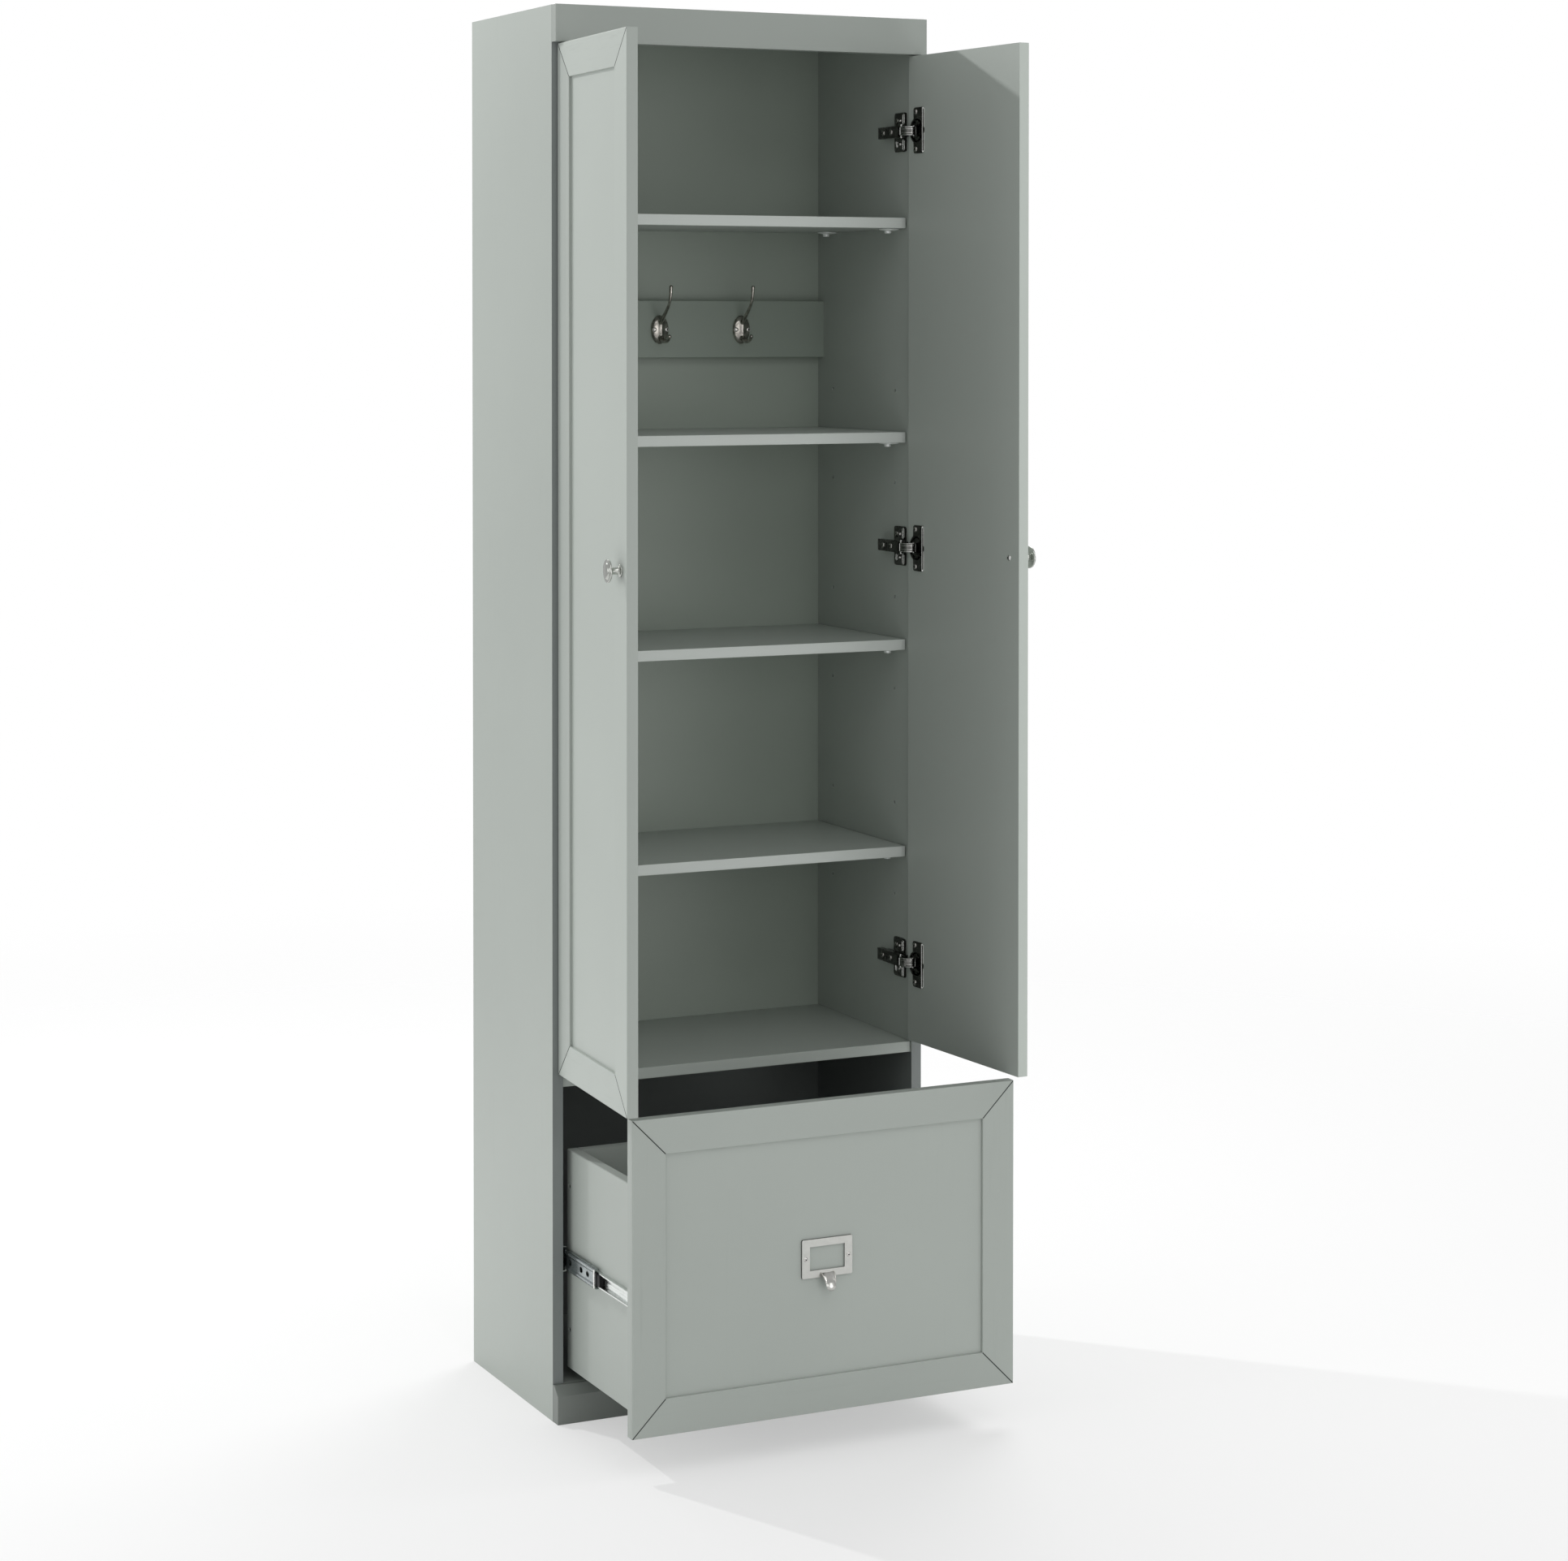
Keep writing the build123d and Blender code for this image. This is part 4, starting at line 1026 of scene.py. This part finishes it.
# Knobs, turned from one profile
knob = {
    "profile": ((0.0, 0.0), (7.6, 0.0), (8.0, 0.3), (8.0, 1.5), (7.6, 2.0), (6.4, 2.4),
                (5.6, 2.9), (5.1, 4.2), (4.75, 6.5), (4.7, 9.0), (4.8, 11.5), (5.2, 13.6),
                (6.2, 14.7), (9.5, 15.1), (13.4, 15.4), (14.6, 15.9), (15.0, 16.6), (15.0, 17.6),
                (14.7, 18.3), (13.8, 18.7), (12.6, 18.6), (11.6, 18.2), (10.9, 18.3), (10.4, 18.9),
                (10.0, 19.7), (9.2, 20.3), (7.0, 20.9), (4.0, 21.35), (0.0, 21.5)),
    "steps": 72,
}


def turnedKnob():
    shape = bmesh.new()
    seat = doorPlace @ Matrix.Translation((*cabinet["knobSpot"], cabinet["doorBoard"]))
    turned(shape, seat, knob["profile"], knob["steps"])
    return finishMesh(shape, "doorKnobLeft", "knobNickel", sharp=50)


handBoth(turnedKnob(), "*_door", "door_knob_*")
print("knobs turned")

# Shelf supports: a peg in the side, an upright behind the shelf's end, a round pad and its nub
support = {
    "columns": (0.052, 0.246), "under": (0.723, 1.015, 1.307, 1.6085),
    "padCentre": (0.0145, -0.009, 0), "nubCentre": (0.0139, -0.0045, 0), "pegCentre": (0.0002, 0, 0.0075),
    "pad": ((0, 0), (13.4, 0), (14.1, -0.3), (14.3, -0.8), (14.1, -1.3), (13.2, -1.8), (10, -2.4),
            (6, -2.8), (0, -3.0)),
    "nub": ((0, -2), (4.7, -2), (4.7, -6.0), (4.3, -6.4), (2.6, -6.4), (2.4, -5.8), (0, -5.8)),
    "peg": ((0, 0), (2.4, 0), (2.4, 8), (0, 8)), "steps": 40, "pegSteps": 20,
    "upright": ((0.0001, -0.007, -0.0016), (0.0015, 0.007, 0.0130)),
}


def shelfSupport():
    shape = bmesh.new()
    for part in ("pad", "nub"):
        turned(shape, Matrix.Translation(support[part + "Centre"]), support[part], support["steps"])
    block(shape, *support["upright"])
    outward = Matrix.Translation(support["pegCentre"]) @ Matrix.Rotation(-quarter, 4, "Y")
    turned(shape, outward, support["peg"], support["pegSteps"])
    return finishMesh(shape, "shelfSupportPattern", "padZinc", sharp=40)


pattern = shelfSupport()
places = [(Vector((wall, y, z)), inward) for y in support["columns"] for z in support["under"]]
leftSupports = grown("shelfSupportsLeft", copyTree, places, "padZinc", {"Pattern": pattern})
bpy.data.objects.remove(pattern)
handBoth(leftSupports, "carcass", "shelf_supports")
print("shelf supports placed")

# Coat hooks: a domed oval plate, a long prong and a short balled one, blended as one casting
hook = {
    "halfWidth": 0.0138, "halfHeight": 0.0208, "dome": 0.0062, "rim": 0.0012, "levels": 12, "steps": 48,
    # a ridge down the plate's middle with a groove on each side: height or depth, place across, width
    "ridge": (0.0011, 0.0, 0.0028), "groove": (0.0007, 0.0062, 0.003),
    # the prongs' middle lines, (out, up) in millimetres from the rail's face at the plate's middle
    "long": ((4, 8), (12.9, 17), (19.2, 22.2), (26.4, 28.3), (32.7, 34.5), (36.6, 40.7), (39, 46.8),
             (40.4, 53), (40.9, 60.5)),
    "short": ((3, -10), (10, -15), (17, -17), (25, -17), (31, -15), (35, -10)),
    # each prong's radius at its root, middle and end, and the ball that ends it
    "longRadii": (3.4, 2.15, 2.6), "shortRadii": (4.2, 2.8, 2.4), "prongSides": 20,
    "tips": (((40.9, 61), 3.0), ((35, -10), 3.1)), "grain": 0.0007,
}
hookMiddle = Vector((0, cabinet["railFace"], cabinet["hookHeight"]))


def hookPlate(shape):
    def bump(x, shapeOf):
        height, across, width = hook[shapeOf]
        return height * math.exp(-((abs(x) - across) / width) ** 2)

    rings = []
    for number in range(hook["levels"]):
        share = number / hook["levels"]  # 0 at the rim, towards 1 at the middle
        size = math.cos(share * quarter)
        rise = hook["dome"] * math.sin(share * quarter) ** 0.9 + hook["rim"]
        ring = []
        for angle in circle(hook["steps"]):
            x, z = math.cos(angle) * hook["halfWidth"] * size, math.sin(angle) * hook["halfHeight"] * size
            ridge = (bump(x, "ridge") - bump(x, "groove")) * min(1, share * 3)
            ring.append(shape.verts.new(hookMiddle + Vector((x, -(rise + ridge), z))))
        rings.append(ring)
    back = [shape.verts.new(Vector((vert.co.x, cabinet["railFace"], vert.co.z))) for vert in rings[0]]
    bridged(shape, [back, *rings])


def roundProng(shape, points, radii):
    path = [hookMiddle + Vector((0, -out * mm, up * mm)) for out, up in points]
    (low, half, high), across, rings = radii, Vector((1, 0, 0)), []
    for number, place in enumerate(path):
        share = number / (len(path) - 1)
        radius = low + (half - low) * share * 2 if share < 0.5 else half + (high - half) * (share * 2 - 1)
        ahead = path[min(number + 1, len(path) - 1)] - path[max(number - 1, 0)]
        over = ahead.normalized().cross(across)
        rings.append(ringAt(shape, place, across, over, radius * mm, hook["prongSides"]))
    bridged(shape, rings)


def castHooks():
    shape = bmesh.new()
    hookPlate(shape)
    for prong in ("long", "short"):
        roundProng(shape, hook[prong], hook[prong + "Radii"])
    for (out, up), radius in hook["tips"]:
        place = Matrix.Translation(hookMiddle + Vector((0, -out * mm, up * mm)))
        bmesh.ops.create_uvsphere(shape, u_segments=24, v_segments=16, radius=radius * mm, matrix=place)
    bmesh.ops.recalc_face_normals(shape, faces=shape.faces)
    casting = meshObject("coatHookCasting", shape)
    addModifier(casting, "REMESH", mode="VOXEL", voxel_size=hook["grain"], use_smooth_shade=True)
    addModifier(casting, "SMOOTH", factor=0.6, iterations=7)
    settle(casting)
    joined = bmesh.new()
    for x in cabinet["hookColumns"]:
        start = len(joined.verts)
        joined.from_mesh(casting.data)
        joined.verts.ensure_lookup_table()
        for vert in joined.verts[start:]:
            vert.co.x += x
            vert.co.y = min(vert.co.y, cabinet["railFace"])  # the back stays flat on the rail
    bpy.data.objects.remove(casting)
    return finishMesh(joined, "coatHooks", "hookNickel", sharp=70, merge=0.00001 * mm)


hand(castHooks(), "carcass", "coat_hooks")
print("coat hooks cast")

# Label holder: a rebated frame with rounded corners and a dished finger tab
label = {
    "outer": (0.0737, 0.0510), "window": (0.0515, 0.0320), "corner": 0.0022, "windowCorner": 0.0006,
    "thick": 0.0027, "rebate": 0.0009, "edge": 0.0004,
    "tabThick": 0.0013, "tabBead": 0.0007, "tabSteps": 16,
    # half widths at the tab's top and crease, its heights, and the dish of roof and tongue, in millimetres
    "tabHalfWidths": (9.0, 7.0), "tabTop": 234.7, "tabCrease": 223.6, "tabTip": 214.2,
    "tabDish": (-0.9, 0.8),
    # the tab's middle line, (out from the face, height) in millimetres: a roof, a crease, then a tongue
    "tabPath": ((0.8, 234.0), (1.6, 234.7), (3.0, 234.5), (5.0, 232.8), (7.0, 230.8), (9.0, 228.7),
                (11.3, 226.2), (13.5, 223.6), (14.1, 221.4), (14.6, 219.6), (14.85, 218.3),
                (14.95, 217.2), (14.95, 216.2), (14.9, 215.4), (14.8, 214.8), (14.7, 214.4),
                (14.62, 214.22)),
}


def roundedRing(size, radius, steps=6):
    points = []
    for sx, sz, start in ((1, 1, 0), (-1, 1, 90), (-1, -1, 180), (1, -1, 270)):
        for step in range(steps + 1):
            angle = math.radians(start + 90 * step / steps)
            points.append((sx * (size[0] / 2 - radius) + radius * math.cos(angle),
                           sz * (size[1] / 2 - radius) + radius * math.sin(angle)))
    return points


def labelFrame():
    shape = bmesh.new()
    thick, edge, soft = label["thick"], label["edge"], label["edge"] * 0.3
    outer = roundedRing(label["outer"], label["corner"])
    inner = roundedRing(label["window"], label["windowCorner"])
    # each ring's outline, how far it is drawn in, and its lift off the drawer front
    rows = ((inner, 0, label["rebate"]), (outer, 0, 0.0),
            (outer, 0, thick - edge), (outer, soft, thick - soft), (outer, edge, thick),
            (inner, -edge, thick), (inner, -soft, thick - soft), (inner, 0, thick - edge))
    rings = []
    for outline, shrink, out in rows:
        y, middleHeight = cabinet["frontFace"] - out, cabinet["labelHeight"]
        drawnIn = [(x - math.copysign(shrink, x), z - math.copysign(shrink, z)) for x, z in outline]
        rings.append([shape.verts.new((x, y, middleHeight + z)) for x, z in drawnIn])
    for number, face in enumerate(bridged(shape, [*rings, rings[0]], capped=False)):
        # painted shade: the walls outside and in the window wear a darker metal
        face.material_index = int(number // len(outer) in (1, 7))
    return finishMesh(shape, "labelFrame", "labelNickel nickelEdge", sharp=12)


def tabHalfWidth(height):
    (wide, narrow), crease = label["tabHalfWidths"], label["tabCrease"]
    if height > crease:
        return narrow + (wide - narrow) * (height - crease) / (label["tabTop"] - crease)
    closing = (crease - height) / (crease - label["tabTip"])
    return narrow * math.sqrt(max(0.0004, 1 - closing ** 2.4))


def fingerTab():
    # gives the tab and the polished beads along its roof's edges
    shape, beads, rows = bmesh.new(), bmesh.new(), []
    across = [2 * step / label["tabSteps"] - 1 for step in range(label["tabSteps"] + 1)]
    for number, (out, height) in enumerate(label["tabPath"]):
        half = tabHalfWidth(height) * mm
        dish = label["tabDish"][height <= label["tabCrease"]] * mm * min(1.0, number / 3)
        rows.append([shape.verts.new((half * s, cabinet["frontFace"] - (out * mm - dish * s * s),
                                      height * mm - dish * 0.5 * s * s)) for s in across])
    roof = [row for row, (_, height) in zip(rows, label["tabPath"]) if height >= label["tabCrease"]]
    lift = Vector((0, -0.0003, 0.0003))
    for end in (0, -1):
        tube(beads, [row[end].co + lift for row in roof], label["tabBead"])
    bridged(shape, rows, closed=False)
    piece = finishMesh(shape, "fingerTab", "tabNickel", sharp=80)
    addModifier(piece, "SOLIDIFY", thickness=label["tabThick"], offset=0)
    return settle(piece, 17), finishMesh(beads, "fingerTabBeads", "satinNickel")


for piece in (labelFrame(), *fingerTab()):
    hand(piece, "drawer", "label_pull")
print("label holder made")

# Mitre joints: a thin dark line of open joint at the bottom of each groove
joint = {"frame": 0.047, "line": 0.00066, "below": 0.00008, "depth": 0.0005, "margins": (0.0008, 0.0004),
         "door": ((0, 0.468), (0.277, 1.848)), "drawer": ((-0.2785, 0.053), (0.2785, 0.461))}


def mitreLines(name, place, low, high):
    shape = bmesh.new()
    near, far = joint["margins"]
    top = cabinet["doorBoard"] - joint["below"]
    for sx, sz in ((1, 1), (-1, 1), (1, -1), (-1, -1)):
        corner = Vector(((low if sx > 0 else high)[0], (low if sz > 0 else high)[1], 0))
        start, end = (corner + Vector((sx, sz, 0)) * reach for reach in (near, joint["frame"] - far))
        side = Vector((sz, -sx, 0)).normalized() * joint["line"]
        outline = (start - side, start + side, end + side, end - side)
        bridged(shape, [[shape.verts.new(place @ (spot + Vector((0, 0, z)))) for spot in outline]
                        for z in (top - joint["depth"], top)])
    return finishMesh(shape, name, "openJoint", sharp=30)


frontPlace = Matrix.Translation((0, cabinet["boxFront"], 0)) @ Matrix.Rotation(quarter, 4, "X")
handBoth(mitreLines("mitreLinesLeft", doorPlace, *joint["door"]), "*_door")
hand(mitreLines("mitreLinesDrawer", frontPlace, *joint["drawer"]), "drawer")
print("mitre lines drawn")

# Floor, light and camera
studio = {
    "floor": (0.90, 0.90, 0.90), "glow": 0.92, "lift": 0.5, "fadeFrom": 1.6, "fadeTo": 4.2, "surround": 0.618,
    "aim": (0, 0, 0.95), "reach": 4.5,
    "keyPlace": (-1.179, 1.863, 2.776), "keyPower": 124, "keyRadius": 0.03,
    # round lamps at a bearing and height angle, in degrees, at the reach from the aim: size and power
    "discs": {"softBehindRight": (225, 45, 2.4, 72), "softLeft": (90, 8, 2.0, 28),
              "softFrontHigh": (0, 45, 2.4, 21), "softBehind": (180, 45, 2.4, 13),
              "softFront": (0, 8, 2.0, 10.5)},
    # lamps given by place: place, aim, size and power
    "fills": {"fillLow": ((1.5, -3.5, 0.5), (0, 0, 0.95), 1.2, 9),
              "fillDoor": ((1.7, -0.7, 1.6), (0.28, -0.28, 1.3), 0.7, 3.8)},
}


def stageFloor():
    shape = bmesh.new()
    bmesh.ops.create_circle(shape, cap_ends=True, segments=96, radius=studio["fadeTo"] + 0.3)
    floor = meshObject("studioFloor", shape)
    finish, tree, shader = blankFinish("studioFloor")
    feed(tree, shader.inputs, {"Base Color": (*studio["floor"], 1), "Roughness": 0.7})
    far = addNode(tree, "ShaderNodeVectorMath", {0: objectPlace(tree)}, operation="LENGTH").outputs["Value"]
    solid = spread(tree, far, studio["fadeFrom"], studio["fadeTo"], 1.0, 0.0, interpolation_type="SMOOTHSTEP")
    # to the camera the floor is half lit by itself, so that shadows on it stay light; it fades out far away
    glow = addNode(tree, "ShaderNodeEmission", {"Strength": studio["glow"]})
    seen = times(tree, addNode(tree, "ShaderNodeLightPath").outputs["Is Camera Ray"], studio["lift"])
    lifted = addNode(tree, "ShaderNodeMixShader", {0: seen, 1: shader, 2: glow})
    clear = addNode(tree, "ShaderNodeBsdfTransparent")
    faded = addNode(tree, "ShaderNodeMixShader", {0: solid, 1: clear, 2: lifted})
    feed(tree, tree.nodes["Material Output"].inputs, {"Surface": faded})
    floor.data.materials.append(finish)


def addLamp(name, kind, place, aim, size, power):
    data = bpy.data.lights.new(name, kind)
    if kind == "AREA":
        data.shape = "DISK"
        data.size = size
    else:
        data.shadow_soft_size = size
    data.energy = power
    lamp = addObject(name, data)
    lamp.location = place
    lamp.rotation_euler = (Vector(aim) - Vector(place)).to_track_quat("-Z", "Y").to_euler()


stageFloor()
addLamp("keyLamp", "POINT", studio["keyPlace"], studio["aim"], studio["keyRadius"], studio["keyPower"])
for name, (bearing, lift, size, power) in studio["discs"].items():
    bearing, lift = math.radians(bearing), math.radians(lift)
    way = Vector((-math.sin(bearing) * math.cos(lift), -math.cos(bearing) * math.cos(lift), math.sin(lift)))
    addLamp(name, "AREA", Vector(studio["aim"]) + way * studio["reach"], studio["aim"], size, power)
for name, values in studio["fills"].items():
    addLamp(name, "AREA", *values)

# The surround lights the cabinet softly, and looks plain white itself
world = bpy.data.worlds.new("studio")
world.use_nodes = True
ray = addNode(world.node_tree, "ShaderNodeLightPath").outputs["Is Camera Ray"]
strength = spread(world.node_tree, ray, 0.0, 1.0, studio["surround"], 1.0)
background = world.node_tree.nodes["Background"]
feed(world.node_tree, background.inputs, {"Color": (1, 1, 1, 1), "Strength": strength})
scene.world = world
scene.view_settings.view_transform = "Standard"

view = {"place": (-2.00068, -4.23605, 1.47165), "yaw": 25.095, "pitch": -1.043, "lens": 78.487,
        "shift": (0.03424, -0.25027)}
camera = bpy.data.cameras.new("camera")
camera.lens = view["lens"]
camera.sensor_width = 36
camera.shift_x, camera.shift_y = view["shift"]
scene.camera = addObject("camera", camera)
scene.camera.location = view["place"]
scene.camera.rotation_euler = (math.radians(90 + view["pitch"]), 0, math.radians(-view["yaw"]))
print("studio set")
